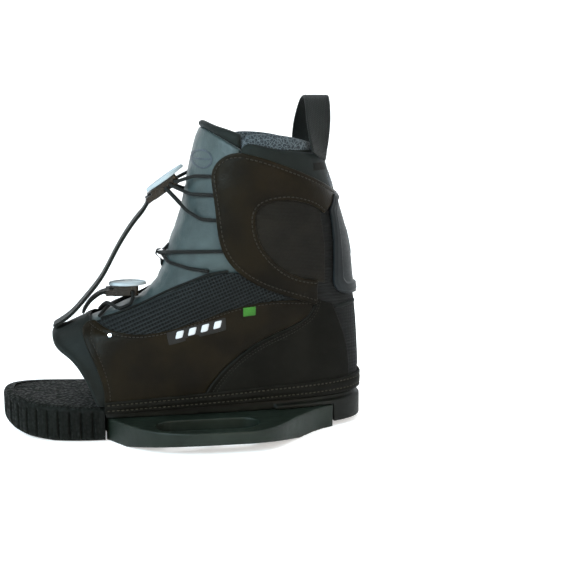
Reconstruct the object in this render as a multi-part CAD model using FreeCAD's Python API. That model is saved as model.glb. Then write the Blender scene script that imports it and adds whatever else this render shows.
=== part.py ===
import FreeCAD
import Part
import math
import os

# Wakeboard binding boot, left foot.  Millimetres.
# Frame: X runs toe (-) to heel (+), Y runs lateral (-) to medial (+), Z up from the board.
# The origin is the centre of the four board bolt slots, on the underside.

V = FreeCAD.Vector
os.makedirs("parts", exist_ok=True)

# ---------------------------------------------------------------- driving dimensions
# Horizontal sections of the upper: height, heel end, toe end, widest station,
# half width, heel exponent, toe exponent.
SECTIONS = [
    (20, 141, -182, -60, 50.0, 3.0, 2.3),
    (34, 141, -180, -58, 52.0, 3.0, 2.3),
    (50, 141, -170, -54, 52.5, 2.9, 2.2),
    (62, 140.5, -158, -48, 52.0, 2.8, 2.2),
    (72, 140, -146, -42, 51.0, 2.8, 2.2),
    (80, 139.5, -136, -36, 50.5, 2.7, 2.1),
    (88, 139, -124, -30, 50.0, 2.6, 2.1),
    (96, 138.3, -106, -18, 49.5, 2.6, 2.1),
    (104, 137.5, -86, -4, 49.0, 2.5, 2.1),
    (112, 136.5, -67, 10, 49.0, 2.5, 2.1),
    (120, 135, -50, 23, 49.5, 2.4, 2.1),
    (130, 133, -40, 32, 51.0, 2.4, 2.1),
    (145, 131, -34, 38, 53.5, 2.4, 2.1),
    (165, 127, -27, 44, 57.0, 2.4, 2.1),
    (185, 121.5, -20, 49, 59.0, 2.4, 2.1),
    (205, 115.5, -15, 52, 59.5, 2.4, 2.1),
    (225, 109, -11, 54, 58.0, 2.4, 2.1),
    (245, 103, -6, 55, 56.0, 2.4, 2.1),
    (268, 97, 1, 56, 55.0, 2.4, 2.1),
]
GRID_Z = [20, 28, 36, 46, 56, 64, 72, 80, 86, 92, 98, 104, 110, 116, 124,
          134, 146, 160, 176, 192, 208, 224, 240, 254, 268]
GRID_COLUMNS = 27

# Layers of the upper, as distances from the section surface (outwards positive).
FOAM = (-8.5, -3.5)          # inner boot
TONGUE = (-9.4, -4.4)
STIFFENER = (-4.9, -2.9)
BASE = (-2.6, -1.3)          # textile panels
SKIN = (-1.1, -0.1)          # leather panels
OVERLAY = (0.1, 1.7)         # overlaid panels
BAND = (-3.2, -0.1)          # collar foam
SHIELD = (0.2, 4.2)
SHIELD_FIELD = 2.4           # sunken middle of the shield

# Sole stack
PLATE_TOP = 19.5
MIDSOLE_TOP = 28.0
UPPER_BOTTOM = 28.4
CUFF_BOTTOM = 29.8
BUMPER_REAR = -83.0
BUMPER_FRONT = -169.0
BUMPER_HALF_WIDTH = 50.0
BUMPER_HEIGHT = 29.0
BUMPER_RISE = 7.0
FLUTE_COUNT = 23
FLUTE_WIDTH = 2.6
FLUTE_DEPTH = 2.4

# Board mount
BOLT_SPACING_X = 38.1
BOLT_SPACING_Y = 152.4
SLOT_RADIUS = 6.0
SLOT_LENGTH = 34.0
SLOT_FLOOR = 8.0
RECESS_LENGTH = 84.0
RECESS_WIDTH = 28.0
EAR_REACH = 101.5
EAR_FLAT = 66.0              # the underside is flat out to here
EAR_TIP_LIFT = 9.0

# Laces, straps and loop
LACE_D = 3.0
STRAP_WIDTH = 22.0
STRAP_THICK = 2.6
LOOP_WIDTH = 22.0
LOOP_THICK = 2.4
LOOP_AXIS = (98.0, 233.4)    # x, z
PIN_R = 1.5
PIN_CLEAR = 0.06

# Locks: middle of the body in the side plane and its slope in degrees
UPPER_LOCK = (-27.0, 207.0, 35.0)
LOWER_LOCK = (-62.0, 118.4, 0.0)


# ---------------------------------------------------------------- section surface
def smooth_table(xs, ys):
    """Slopes of a shape-preserving cubic through the table."""
    n = len(xs)
    h = [xs[i + 1] - xs[i] for i in range(n - 1)]
    d = [(ys[i + 1] - ys[i]) / h[i] for i in range(n - 1)]
    m = [d[0]] + [0.0] * (n - 2) + [d[-1]]
    for i in range(1, n - 1):
        if d[i - 1] * d[i] > 0:
            w1 = 2 * h[i] + h[i - 1]
            w2 = h[i] + 2 * h[i - 1]
            m[i] = (w1 + w2) / (w1 / d[i - 1] + w2 / d[i])
    return m


HEIGHTS = [row[0] for row in SECTIONS]
COLUMNS = [[row[k] for row in SECTIONS] for k in range(1, 7)]
SLOPES = [smooth_table(HEIGHTS, column) for column in COLUMNS]


def section(z):
    """The six section values at height z."""
    z = min(max(z, HEIGHTS[0]), HEIGHTS[-1])
    i = 0
    while i < len(HEIGHTS) - 2 and z > HEIGHTS[i + 1]:
        i += 1
    h = HEIGHTS[i + 1] - HEIGHTS[i]
    t = (z - HEIGHTS[i]) / h
    a = (1 + 2 * t) * (1 - t) ** 2
    b = t * (1 - t) ** 2
    c = t * t * (3 - 2 * t)
    d = t * t * (t - 1)
    out = []
    for column, slope in zip(COLUMNS, SLOPES):
        out.append(a * column[i] + b * h * slope[i] + c * column[i + 1] + d * h * slope[i + 1])
    return out


def rim_point(z, angle):
    """Point on the lateral half section, angle 0 at the heel and pi at the toe."""
    heel, toe, mid, half, n_heel, n_toe = section(z)
    c = math.cos(angle)
    s = max(math.sin(angle), 0.0)
    n = n_heel if c >= 0 else n_toe
    reach = heel - mid if c >= 0 else mid - toe
    x = mid + math.copysign(reach * abs(c) ** (2 / n), c)
    return V(x, -half * s ** (2 / n), z)


def even_ring(z, count):
    """Half section resampled to even steps of arc length."""
    dense = [rim_point(z, math.pi * (0.5 - 0.5 * math.cos(math.pi * i / 400))) for i in range(401)]
    run = [0.0]
    for p, q in zip(dense, dense[1:]):
        run.append(run[-1] + (q - p).Length)
    ring = []
    j = 0
    for k in range(count):
        goal = run[-1] * k / (count - 1)
        while j < 399 and run[j + 1] < goal:
            j += 1
        t = (goal - run[j]) / (run[j + 1] - run[j])
        ring.append(dense[j] + (dense[j + 1] - dense[j]) * min(max(t, 0.0), 1.0))
    ring[0].y = 0.0
    ring[-1].y = 0.0
    return ring


def half_width(x, z):
    """Half width of the section at station x and height z, 0 outside it."""
    heel, toe, mid, half, n_heel, n_toe = section(z)
    n = n_heel if x >= mid else n_toe
    ratio = (x - mid) / (heel - mid) if x >= mid else (mid - x) / (mid - toe)
    if ratio >= 1:
        return 0.0
    return half * (1 - ratio ** n) ** (1 / n)


def level(p):
    """Positive outside the section surface."""
    heel, toe, mid, half, n_heel, n_toe = section(p.z)
    n = n_heel if p.x >= mid else n_toe
    reach = heel - mid if p.x >= mid else mid - toe
    return (abs(p.x - mid) / reach) ** n + (abs(p.y) / half) ** n - 1


def normal(p):
    """Outward normal of the section surface near p."""
    e = 0.05
    g = V(
        level(p + V(e, 0, 0)) - level(p - V(e, 0, 0)),
        level(p + V(0, e, 0)) - level(p - V(0, e, 0)),
        level(p + V(0, 0, e)) - level(p - V(0, 0, e)),
    )
    if abs(p.y) < 1e-6:
        g.y = 0.0
    return g.normalize()


def lift(p, distance):
    return p + normal(p) * distance


def on_side(x, z, distance, side=-1):
    """Point off the surface at station x and height z."""
    return lift(V(x, side * half_width(x, z), z), distance)


def on_top(x, y, distance):
    """Point off the instep at station x and offset y."""
    low = 60.0
    high = 262.0
    for _ in range(40):
        z = (low + high) / 2
        if half_width(x, z) > abs(y):
            low = z
        else:
            high = z
    return lift(V(x, y, low), distance)


def on_front(y, z, distance):
    """Point off the front of the shaft at offset y and height z."""
    low = section(z)[1]
    high = section(z)[2]
    for _ in range(40):
        x = (low + high) / 2
        if half_width(x, z) > abs(y):
            high = x
        else:
            low = x
    return lift(V(high, y, z), distance)


def on_back(y, z, distance):
    """Point off the back of the boot at offset y and height z."""
    low = section(z)[2]
    high = section(z)[0]
    for _ in range(40):
        x = (low + high) / 2
        if half_width(x, z) > abs(y):
            low = x
        else:
            high = x
    return lift(V(low, y, z), distance)


RINGS = [even_ring(z, GRID_COLUMNS) for z in GRID_Z]
NORMALS = [[normal(p) for p in ring] for ring in RINGS]


def skin_surface(distance):
    grid = []
    for ring, normals in zip(RINGS, NORMALS):
        grid.append([p + n * distance for p, n in zip(ring, normals)])
    surface = Part.BSplineSurface()
    surface.interpolate(grid)
    return surface


def half_layer(inner, outer):
    """Closed solid between two distances from the surface, lateral half."""
    outside = skin_surface(outer)
    inside = skin_surface(inner)
    faces = [outside.toShape(), inside.toShape()]
    for end in (0.0, 1.0):
        for one, other in ((outside.uIso(end), inside.uIso(end)), (outside.vIso(end), inside.vIso(end))):
            faces.append(Part.makeRuledSurface(one.toShape(), other.toShape(), 1))
    shell = Part.makeShell(faces)
    shell.sewShape()
    solid = Part.Solid(shell)
    if solid.Volume < 0:
        solid.reverse()
    return solid


LAYERS = {}


def layer(span):
    if span not in LAYERS:
        LAYERS[span] = half_layer(*span)
    return LAYERS[span]


# ---------------------------------------------------------------- outlines and prisms
def run_edges(runs, place):
    """Edges of an outline given as runs; a run of more than two points is a smooth curve."""
    edges = []
    for run in runs:
        points = [place(*p) for p in run]
        if len(points) == 2:
            edges.append(Part.makeLine(*points))
        else:
            curve = Part.BSplineCurve()
            curve.interpolate(points)
            edges.append(curve.toShape())
    return edges


def prism(runs, place, depth):
    wire = Part.Wire(Part.__sortEdges__(run_edges(runs, place)))
    return Part.Face(wire).extrude(depth)


def side_prism(runs):
    """Prism through the lateral half from an outline of (x, z)."""
    return prism(runs, lambda x, z: V(x, 0.0, z), V(0, -130, 0))


def back_prism(runs, front=40.0):
    """Prism through the back from an outline of (y, z)."""
    return prism(runs, lambda y, z: V(front, y, z), V(160, 0, 0))


def polygon(points):
    """Straight runs round a closed list of points."""
    return [[a, b] for a, b in zip(points, points[1:] + points[:1])]


def mirrored(shape):
    return shape.mirror(V(0, 0, 0), V(0, 1, 0))


def one_solid(shape):
    """The largest solid of a boolean result."""
    solid = max(shape.Solids, key=lambda s: s.Volume)
    return solid


def whole(half):
    """Both halves of a part that crosses the middle plane."""
    joined = half.fuse(mirrored(half)).removeSplitter()
    return one_solid(joined)


def panel(span, runs):
    return one_solid(layer(span).common(side_prism(runs)))


PARTS = {}


def keep(name, shape):
    PARTS[name] = shape


def keep_pair(name, shape):
    keep(name + "_left", shape)
    keep(name + "_right", mirrored(shape))


# ---------------------------------------------------------------- plan outlines
def plan_ring(inset, z, x_front=None):
    """Closed plan outline of the sole, moved in by inset, cut square at x_front."""
    ring = [lift(p, -inset) for p in even_ring(34.0, 41)]
    pts = [V(p.x, p.y, z) for p in ring if x_front is None or p.x > x_front]
    if x_front is not None:
        pts.append(V(x_front, -half_width(x_front, 34.0) + inset, z))
    pts[0].y = 0.0
    return pts


def sole_block(inset, z0, z1, x_front):
    """Slab of the sole plan behind x_front."""
    side = plan_ring(inset, z0, x_front)
    curve = Part.BSplineCurve()
    full = list(reversed(side)) + [V(p.x, -p.y, p.z) for p in side[1:]]
    curve.interpolate(full)
    edges = [curve.toShape(), Part.makeLine(full[-1], full[0])]
    face = Part.Face(Part.Wire(edges))
    return face.extrude(V(0, 0, z1 - z0))


def box(x0, x1, y0, y1, z0, z1):
    return Part.makeBox(x1 - x0, y1 - y0, z1 - z0, V(x0, y0, z0))


def slot_tool(x, y, length, radius, z0, z1):
    """Upright slot running along X, rounded at both ends."""
    half = length / 2 - radius
    tool = box(x - half, x + half, y - radius, y + radius, z0, z1)
    for end in (-half, half):
        tool = tool.fuse(Part.makeCylinder(radius, z1 - z0, V(x + end, y, z0)))
    return tool.removeSplitter()


# ---------------------------------------------------------------- chassis
# Plan of the plate, anticlockwise from the toe end of the lateral side
LATERAL_FRONT = [(-82, -44), (-72, -58), (-58, -77), (-42, -91), (-22, -99), (-4, -EAR_REACH)]
LATERAL_BACK = [(34, -EAR_REACH), (47, -97), (60, -87), (73, -72), (86, -58), (99, -47), (112, -39.6)]
MEDIAL_BACK = [(112, 50), (104, 56), (88, 68), (66, 84), (48, 96), (34, EAR_REACH)]
MEDIAL_FRONT = [(0, EAR_REACH), (-20, 98.5), (-38, 90), (-50, 78), (-60, 62), (-70, 50), (-82, 44)]


def make_baseplate():
    runs = [LATERAL_FRONT, [LATERAL_FRONT[-1], LATERAL_BACK[0]], LATERAL_BACK,
            [LATERAL_BACK[-1], MEDIAL_BACK[0]],
            MEDIAL_BACK, [MEDIAL_BACK[-1], MEDIAL_FRONT[0]], MEDIAL_FRONT,
            [MEDIAL_FRONT[-1], LATERAL_FRONT[0]]]
    edges = run_edges(runs, lambda x, y: V(x, y, 0.0))
    plate = Part.Face(Part.Wire(edges)).extrude(V(0, 0, PLATE_TOP))
    rise = EAR_TIP_LIFT / (EAR_REACH - EAR_FLAT)
    for side in (-1, 1):
        wedge = Part.makePolygon([
            V(-100, side * EAR_FLAT, 0),
            V(-100, side * 120, 0),
            V(-100, side * 120, rise * (120 - EAR_FLAT)),
            V(-100, side * EAR_FLAT, 0),
        ])
        plate = plate.cut(Part.Face(wedge).extrude(V(230, 0, 0)))
        y = side * BOLT_SPACING_Y / 2
        pocket = slot_tool(0, y, RECESS_LENGTH, RECESS_WIDTH / 2, SLOT_FLOOR, PLATE_TOP + 5)
        plate = plate.cut(pocket)
        for end in (-1, 1):
            x = end * BOLT_SPACING_X / 2
            plate = plate.cut(slot_tool(x, y, SLOT_LENGTH, SLOT_RADIUS, -1, SLOT_FLOOR + 1))
    for i in range(4):
        for side in (-1, 1):
            x0 = -70 + i * 41
            cell = box(x0, x0 + 36, 9 if side > 0 else -35, 35 if side > 0 else -9, -1, 3.2)
            plate = plate.cut(cell)
    # front tongue of the plate carries the toe bumper
    shelf = box(-112, -81, -24, 24, 2.0, 8.0)
    plate = plate.fuse(shelf)
    for x, y in SCREW_POINTS:
        plate = plate.cut(Part.makeCylinder(2.6, 40, V(x, y, -5)))
        plate = plate.cut(Part.makeCylinder(5.6, 12 + 5.2, V(x, y, -5)))
    return plate.removeSplitter()


SCREW_POINTS = [(-52, 0), (30, 0), (94, -17), (94, 17)]


def make_midsole():
    body = sole_block(2.2, PLATE_TOP + 0.3, MIDSOLE_TOP, -82.6)
    cup = sole_block(-1.4, 4.0, MIDSOLE_TOP - 4.0, 60.0)
    cup = cup.cut(box(50, 112.4, -70, 70, -5, PLATE_TOP + 0.3))
    body = body.fuse(cup)
    for x, y in SCREW_POINTS:
        body = body.cut(Part.makeCylinder(2.6, 60, V(x, y, 0)))
    return one_solid(body.removeSplitter())


def bumper_plan(inset, z):
    """Closed plan of the toe bumper."""
    length = BUMPER_REAR - BUMPER_FRONT - inset
    width = BUMPER_HALF_WIDTH - inset
    pts = []
    for i in range(41):
        a = math.pi * i / 40
        r = math.sin(a) ** (2 / 2.3)
        x = BUMPER_REAR - length * r
        y = -math.copysign(width * abs(math.cos(a)) ** (2 / 2.3), math.cos(a))
        pts.append(V(x, y + 6 * r * r, z))
    return pts


def make_bumper():
    pts = bumper_plan(0.0, -2.0)
    curve = Part.BSplineCurve()
    curve.interpolate(pts)
    face = Part.Face(Part.Wire([curve.toShape(), Part.makeLine(pts[-1], pts[0])]))
    slab = face.extrude(V(0, 0, 50))
    top = [(BUMPER_REAR + 1, BUMPER_HEIGHT), (-110, BUMPER_HEIGHT + 1), (-140, BUMPER_HEIGHT + 3.6),
           (BUMPER_FRONT - 1, BUMPER_HEIGHT + BUMPER_RISE)]
    under = [(BUMPER_FRONT - 1, 11), (-160, 6.0), (-145, 2.2), (-125, 0), (-110, 0)]
    runs = [top, [top[-1], under[0]], under, [under[-1], (BUMPER_REAR + 1, 0)],
            [(BUMPER_REAR + 1, 0), top[0]]]
    profile = prism(runs, lambda x, z: V(x, -80, z), V(0, 160, 0))
    body = slab.common(profile)
    for k in range(FLUTE_COUNT):
        s = (k + 0.6) / (FLUTE_COUNT + 0.2) * 40
        i = min(int(s), 39)
        p = pts[i] + (pts[i + 1] - pts[i]) * (s - i)
        t = (pts[min(i + 1, 40)] - pts[i]).normalize()
        outward = V(t.y, -t.x, 0)
        if (p - V(BUMPER_REAR, 0, p.z)).dot(outward) < 0:
            outward = outward * -1
        tool = Part.makeBox(2 * FLUTE_DEPTH, FLUTE_WIDTH, 60, V(-FLUTE_DEPTH, -FLUTE_WIDTH / 2, -5))
        angle = math.degrees(math.atan2(outward.y, outward.x))
        tool.rotate(V(0, 0, 0), V(0, 0, 1), angle)
        tool.translate(V(p.x, p.y, 4.0))
        body = body.cut(tool)
    body = body.cut(box(-112.4, -80, -24.4, 24.4, 1.6, 8.4))
    return one_solid(body)


keep("baseplate", make_baseplate())
keep("midsole", make_midsole())
keep("toe_bumper", make_bumper())

lasting = sole_block(9.2, MIDSOLE_TOP + 0.3, 31.0, -82.0)
for sx, sy in SCREW_POINTS:
    lasting = lasting.cut(Part.makeCylinder(2.6, 60, V(sx, sy, 0)))
keep("lasting_board", lasting)
keep("footbed", sole_block(9.0, 34.2, 38.0, -86.0))

screws = []
nuts = []
for sx, sy in SCREW_POINTS:
    head = Part.makeCylinder(5.0, 3.0, V(sx, sy, 9.0))
    socket = Part.makeCylinder(2.0, 2.0, V(sx, sy, 8.9))
    shank = Part.makeCylinder(2.5, 21.5, V(sx, sy, 12.0))
    screws.append(head.cut(socket).fuse(shank).removeSplitter())
    flange = Part.makeCylinder(7.0, 1.5, V(sx, sy, 31.3))
    nuts.append(flange.cut(Part.makeCylinder(2.55, 10, V(sx, sy, 25))))
keep("chassis_screws", Part.Compound(screws))
keep("chassis_nuts", Part.Compound(nuts))

# ---------------------------------------------------------------- upper outlines, (x, z)
TOE_EDGE = [(-83, UPPER_BOTTOM), (-83, 41), (-88, 61), (-95, 77), (-99, 87), (-100, 93)]
VAMP_TIP = [(-100, 93), (-96, 97), (-89, 99)]
MESH_LOW = [(-89, 99), (-80, 94.5), (-66, 91), (-47, 90), (-12, 97), (27, 109), (60, 114), (94, 112)]
COUNTER_SEAM = [(94, 112), (93, 106), (88, 99), (57, 85), (27, 68), (7, 49), (-1, 36), (-3, UPPER_BOTTOM)]
LACE_EDGE = [(-90, 98.5), (-81, 101.5), (-70, 105), (-50, 113), (-30, 122), (-11, 130), (4, 136), (23, 139.5)]
CUFF_FRONT = [(-127, 92), (-126.5, 86), (-124, 80), (-116, 73.5), (-109, 68), (-102, 59), (-95, 45), (-89, CUFF_BOTTOM)]
PANEL_FRONT = [(94, 109), (73, 117), (46, 128), (23, 146), (14, 164), (11, 190), (9.5, 205), (9, 220),
               (12, 228), (18, 234), (25, 237), (33, 237.5)]
PANEL_TOP = [(33, 237.5), (47, 234), (62, 229), (89, 218), (107, 208.5), (118, 202)]
WINDOW = [(101, 187), (92, 193.5), (83, 197), (72, 199.4), (63, 199.5), (54, 198), (46, 194), (42.5, 188),
          (42, 182), (44, 170), (50, 158), (61, 146), (71, 138.5), (84, 133), (97, 130.5)]


def shifted(points, dx, dz):
    return [(x + dx, z + dz) for x, z in points]


# leather
keep_pair("vamp", panel(SKIN, [TOE_EDGE, VAMP_TIP, MESH_LOW, COUNTER_SEAM,
                               [(-3, UPPER_BOTTOM), (-83, UPPER_BOTTOM)]]))
seam = shifted(COUNTER_SEAM, 0.5, 0)
back_line = [(128, UPPER_BOTTOM), (128, 60), (122, 85), (112, 108)]
keep_pair("heel_counter", panel(SKIN, [seam, [seam[-1], (128, UPPER_BOTTOM)], back_line,
                                       [back_line[-1], (98, 113)], [(98, 113), seam[0]]]))
# textile under the leather
mesh_under = shifted(MESH_LOW[1:-1], 0, -6)
mesh = panel(BASE, [LACE_EDGE, [LACE_EDGE[-1], (66, 134)], [(66, 134), (66, 107.5)], [(66, 107.5), mesh_under[-1]],
                    list(reversed(mesh_under)), [mesh_under[0], LACE_EDGE[0]]])
textile = [(68, 133), (67, 112), (100, 104), (112, 84), (121, 60), (122, UPPER_BOTTOM),
           (150, UPPER_BOTTOM), (150, 202.3), (101.5, 202.3), (98, 190), (98, 134)]
keep("heel_textile", whole(panel(BASE, polygon(textile))))
insert = [(38, 204), (38, 150), (66, 134.4), (104, 127), (103, 160), (98.5, 186), (98.5, 204)]
keep_pair("ankle_insert", panel(SKIN, polygon(insert)))
# overlaid ankle panel, a bow open towards the heel
ankle_panel = panel(OVERLAY, [PANEL_FRONT, PANEL_TOP, [(118, 202), (101, 187)], WINDOW,
                              [(97, 130.5), (97, 110)], [(97, 110), (94, 109)]])
# its rear corner stops short of the back shield and the yoke, (y, z)
wing_gap = [(0, 180), (-42.4, 180), (-42.4, 190.5), (-32.4, 202.2), (-34.2, 209), (-35.4, 218.6), (0, 226)]
foxing = [(-83, 24), (-83, 34.5), (60, 42), (150, 44), (150, 30), (60, 28.5)]
keep("foxing_strip", whole(panel(OVERLAY, polygon(foxing))))
keep("toe_cuff", whole(panel(BASE, [CUFF_FRONT, [(-89, CUFF_BOTTOM), (-76, CUFF_BOTTOM)],
                                    [(-76, CUFF_BOTTOM), (-79, 50), (-86, 74), (-91, 90), (-94, 104)],
                                    [(-94, 104), (-127, 104)], [(-127, 104), (-127, 92)]])))

# heel stiffener and inner boot
stiff = [(36, 32), (36, 84), (60, 104), (150, 112), (150, 32)]
stiffener = whole(panel(STIFFENER, polygon(stiff)))
keep("heel_stiffener", stiffener)
tongue_low = [(-116, 84), (-92, 86.5), (-72, 92), (-50, 100), (-28, 109), (-8, 117), (10, 123), (30, 132)]
liner_low = shifted(tongue_low[1:], 0.6, -0.8)
liner_top = [(31, 256.5), (45, 256), (61, 254), (87, 249.5), (105, 245), (135, 241)]
liner_runs = [
    liner_low, [liner_low[-1], (31, 150)], [(31, 150), liner_top[0]], liner_top,
    [liner_top[-1], (150, 241)], [(150, 241), (150, 31.4)], [(150, 31.4), (-84, 31.4)],
    [(-84, 31.4), (-84, 50), (-87, 64), (-91, 77), liner_low[0]],
]
liner = whole(panel(FOAM, liner_runs))
pocket = one_solid(layer((-5.2, -2.6)).common(side_prism(polygon([(35, 30), (35, 85), (59, 105), (150, 113), (150, 30)]))))
liner = liner.cut(whole(pocket))
keep("liner", one_solid(liner))
tongue_top = [(-24, 268), (-6, 262), (2, 257), (14, 250), (30, 241)]
keep("tongue", whole(panel(TONGUE, [tongue_low, [tongue_low[-1], tongue_top[-1]], tongue_top,
                                    [tongue_top[0], (-60, 268)], [(-60, 268), (-140, 120)],
                                    [(-140, 120), tongue_low[0]]])))
binding_low = shifted(tongue_top, 0.0, 0.4)
binding_top = [(-20, 275), (-3, 267), (7, 261.5), (18, 257.5), (30, 253)]
keep("tongue_binding", whole(panel((-9.8, -3.4), [binding_low, [binding_low[-1], binding_top[-1]], binding_top,
                                                  [binding_top[0], binding_low[0]]])))
band_low = [(31.5, 230), (45, 229), (62, 222), (89, 211), (104, 203)]
band_top = [(31.5, 247.5), (45, 244), (62, 240.5), (80, 238.5), (95, 237), (130, 236)]
keep("collar_band", whole(panel(BAND, [band_low, [band_low[-1], (130, 203)], [(130, 203), band_top[-1]], band_top,
                                       [band_top[0], band_low[0]]])))

# ---------------------------------------------------------------- back of the boot, (y, z)
def back_part(span, runs):
    full = one_solid(layer(span).common(back_prism(runs)))
    return whole(full)


def half_outline(points):
    """Closed runs of a half outline whose first and last points sit on the middle line."""
    runs = [[a, b] for a, b in zip(points, points[1:])]
    return runs + [[points[-1], points[0]]]


keep_pair("ankle_panel", one_solid(ankle_panel.cut(back_prism(half_outline(wing_gap)))))
shield_edge = [(0, 202), (-31, 201.5), (-41, 190), (-39.5, 157), (-36, 127), (-31, 117.5), (-24, 114.5), (0, 113.5)]
field_edge = [(0, 196), (-27.5, 195.5), (-35.5, 186.5), (-34, 157), (-30.5, 130), (-27, 125), (-21, 123.5), (0, 122.5)]
grow = back_part(SHIELD, half_outline(shield_edge))
field = back_part((SHIELD_FIELD, 6.0), half_outline(field_edge))
keep("back_shield", one_solid(grow.cut(field)))
yoke_edge = [(0, 221.5), (-20, 221), (-34, 217.5), (-33, 209), (-30.5, 203), (0, 202.6)]
keep("back_yoke", back_part((0.1, 1.5), half_outline(yoke_edge)))
tape_edge = [(0, 112), (-4, 112), (-4, 45.5), (0, 45.5)]
keep("heel_seam_tape", back_part((-1.1, 0.1), half_outline(tape_edge)))
ridge_edge = [(0, 109), (-4.4, 109), (-30.5, 107), (-30.5, 104), (-4.4, 105.5), (0, 105.5)]
ridge = one_solid(layer((-1.1, 1.0)).common(back_prism(half_outline(ridge_edge)))).cut(
    back_part((-1.5, 0.4), half_outline([(0, 112.3), (-4.3, 112.3), (-4.3, 45), (0, 45)])))
keep_pair("heel_ridge", one_solid(ridge))


def emblem():
    """Plain six-sided medallion with three bars."""
    outer = Part.makePolygon([V(80, 17 * math.sin(math.radians(a)), 160 + 17 * math.cos(math.radians(a)))
                              for a in range(0, 361, 60)])
    inner = Part.makePolygon([V(80, 15 * math.sin(math.radians(a)), 160 + 15 * math.cos(math.radians(a)))
                              for a in range(0, 361, 60)])
    ring = Part.Face(outer).extrude(V(80, 0, 0)).cut(Part.Face(inner).extrude(V(80, 0, 0)))
    bars = [box(80, 160, -8.8, 8.8, z, z + 2.4) for z in (151.6, 158.8, 166.0)]
    # a narrow spine ties the bars and the rim together
    spine = box(80, 160, -1.0, 1.0, 144.0, 176.0)
    tool = ring.fuse(bars + [spine]).removeSplitter()
    lateral = layer((SHIELD_FIELD + 0.2, SHIELD_FIELD + 1.2)).common(tool)
    return whole(one_solid(lateral))


keep("shield_emblem", emblem())


# ---------------------------------------------------------------- cords
def route(points):
    """Straight runs joined by tangent arcs, as (start, middle or None, end)."""
    legs = []
    start = points[0]
    for before, corner, after in zip(points, points[1:], points[2:]):
        a = (corner - before).normalize()
        b = (after - corner).normalize()
        turn = a.getAngle(b)
        if turn < 0.02:
            continue
        reach = 0.45 * min((corner - before).Length, (after - corner).Length)
        radius = reach / math.tan(turn / 2)
        bisector = (b - a).normalize()
        centre = corner + bisector * (radius / math.cos(turn / 2))
        enter = corner - a * reach
        legs.append((start, None, enter))
        legs.append((enter, centre - bisector * radius, corner + b * reach))
        start = corner + b * reach
    legs.append((start, None, points[-1]))
    return legs


def pipe(legs, radius):
    edges = []
    for start, middle, end in legs:
        if middle is None:
            edges.append(Part.makeLine(start, end))
        else:
            edges.append(Part.Arc(start, middle, end).toShape())
    path = Part.Wire(edges)
    direction = (legs[0][2] - legs[0][0]).normalize()
    ring = Part.Wire(Part.makeCircle(radius, legs[0][0], direction))
    solid = path.makePipeShell([ring], True, False)
    return solid, path.Length


def cord(name, points, radius):
    legs = route(points)
    solid, length = pipe(legs, radius)
    tightest = min(Part.Arc(*leg).toShape().Curve.Radius for leg in legs if leg[1] is not None)
    ideal = math.pi * radius * radius * length
    print(name, "length", round(length, 1), "tightest radius", round(tightest, 1),
          "volume ratio", round(solid.Volume / ideal, 4))
    keep(name, solid)
    return legs


def flip(points):
    return [V(p.x, -p.y, p.z) for p in reversed(points)]


ON_TONGUE = -1.75            # lace centre line, from the section surface
LACE_R = LACE_D / 2


def lock_point(lock, u, v, w):
    """Point in a lock's own axes: along it, across it, out of it."""
    a = math.radians(lock[2])
    return V(lock[0] + u * math.cos(a) - w * math.sin(a), v, lock[1] + u * math.sin(a) + w * math.cos(a))


def crossing(sign, rise):
    """One strand over the tongue at the ankle, from the low guide to the high one."""
    return [
        on_side(4, 140.5, ON_TONGUE, sign),
        on_front(sign * 40, 142.5, ON_TONGUE + 0.6),
        on_front(sign * 22, 146, ON_TONGUE + 0.5 + 0.6 * rise),
        on_front(0.0, 150.5, ON_TONGUE + 0.9 + rise),
        on_front(-sign * 22, 154, ON_TONGUE + 0.5 + 0.6 * rise),
        on_front(-sign * 42, 156.5, ON_TONGUE + 0.7),
    ]


def turn_up(sign, low, high, depth, corner):
    """Turn behind the ankle panel from one strand to the next."""
    return [
        on_side(depth - corner, low, ON_TONGUE, sign),
        on_side(depth, low + corner, ON_TONGUE, sign),
        on_side(depth, high - corner, ON_TONGUE, sign),
        on_side(depth - corner, high, ON_TONGUE, sign),
    ]


def to_lock(sign, z, u):
    return [
        on_front(sign * 42, z + 0.5, ON_TONGUE + 0.3),
        on_front(sign * 30, z + (6 if z < 190 else 0), ON_TONGUE + 2.6),
        lock_point(UPPER_LOCK, u, sign * 16.0, 0),
    ]


ankle = crossing(-1, 0.0) + turn_up(1, 157.5, 182.5, 25.5, 6.5)
ankle += to_lock(1, 183, -0.4) + flip(to_lock(1, 183, -0.4))
ankle += flip(turn_up(1, 157.5, 182.5, 25.5, 6.5)) + flip(crossing(-1, 3.5))
ankle_legs = cord("upper_lace", ankle, LACE_R)

collar_turn = turn_up(1, 203.0, 218.5, 24.5, 5.0)
top = [on_side(24.5, 214, ON_TONGUE, -1), on_side(19.5, 218.5, ON_TONGUE, -1)]
top += to_lock(-1, 218, 9.4) + list(reversed(to_lock(1, 218, 9.4)))
top += list(reversed(collar_turn))
top += to_lock(1, 203, 4.5) + list(reversed(to_lock(-1, 203, 4.5)))
top += [on_side(19.5, 203, ON_TONGUE, -1), on_side(24.5, 207.5, ON_TONGUE, -1)]
collar_legs = cord("collar_lace", top, LACE_R)


def instep_strand(rise):
    return [
        on_top(-86, -17.5, ON_TONGUE),
        on_top(-82, -8, ON_TONGUE + 0.6 * rise),
        on_top(-78.5, 0.0, ON_TONGUE + rise),
        on_top(-75, 8, ON_TONGUE + 0.6 * rise),
        on_top(-71.5, 16.5, ON_TONGUE),
    ]


def instep_turn():
    return [on_top(-68, 21.0, ON_TONGUE), on_top(-60, 21.5, ON_TONGUE), on_top(-57, 16.5, ON_TONGUE + 1.6)]


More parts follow.
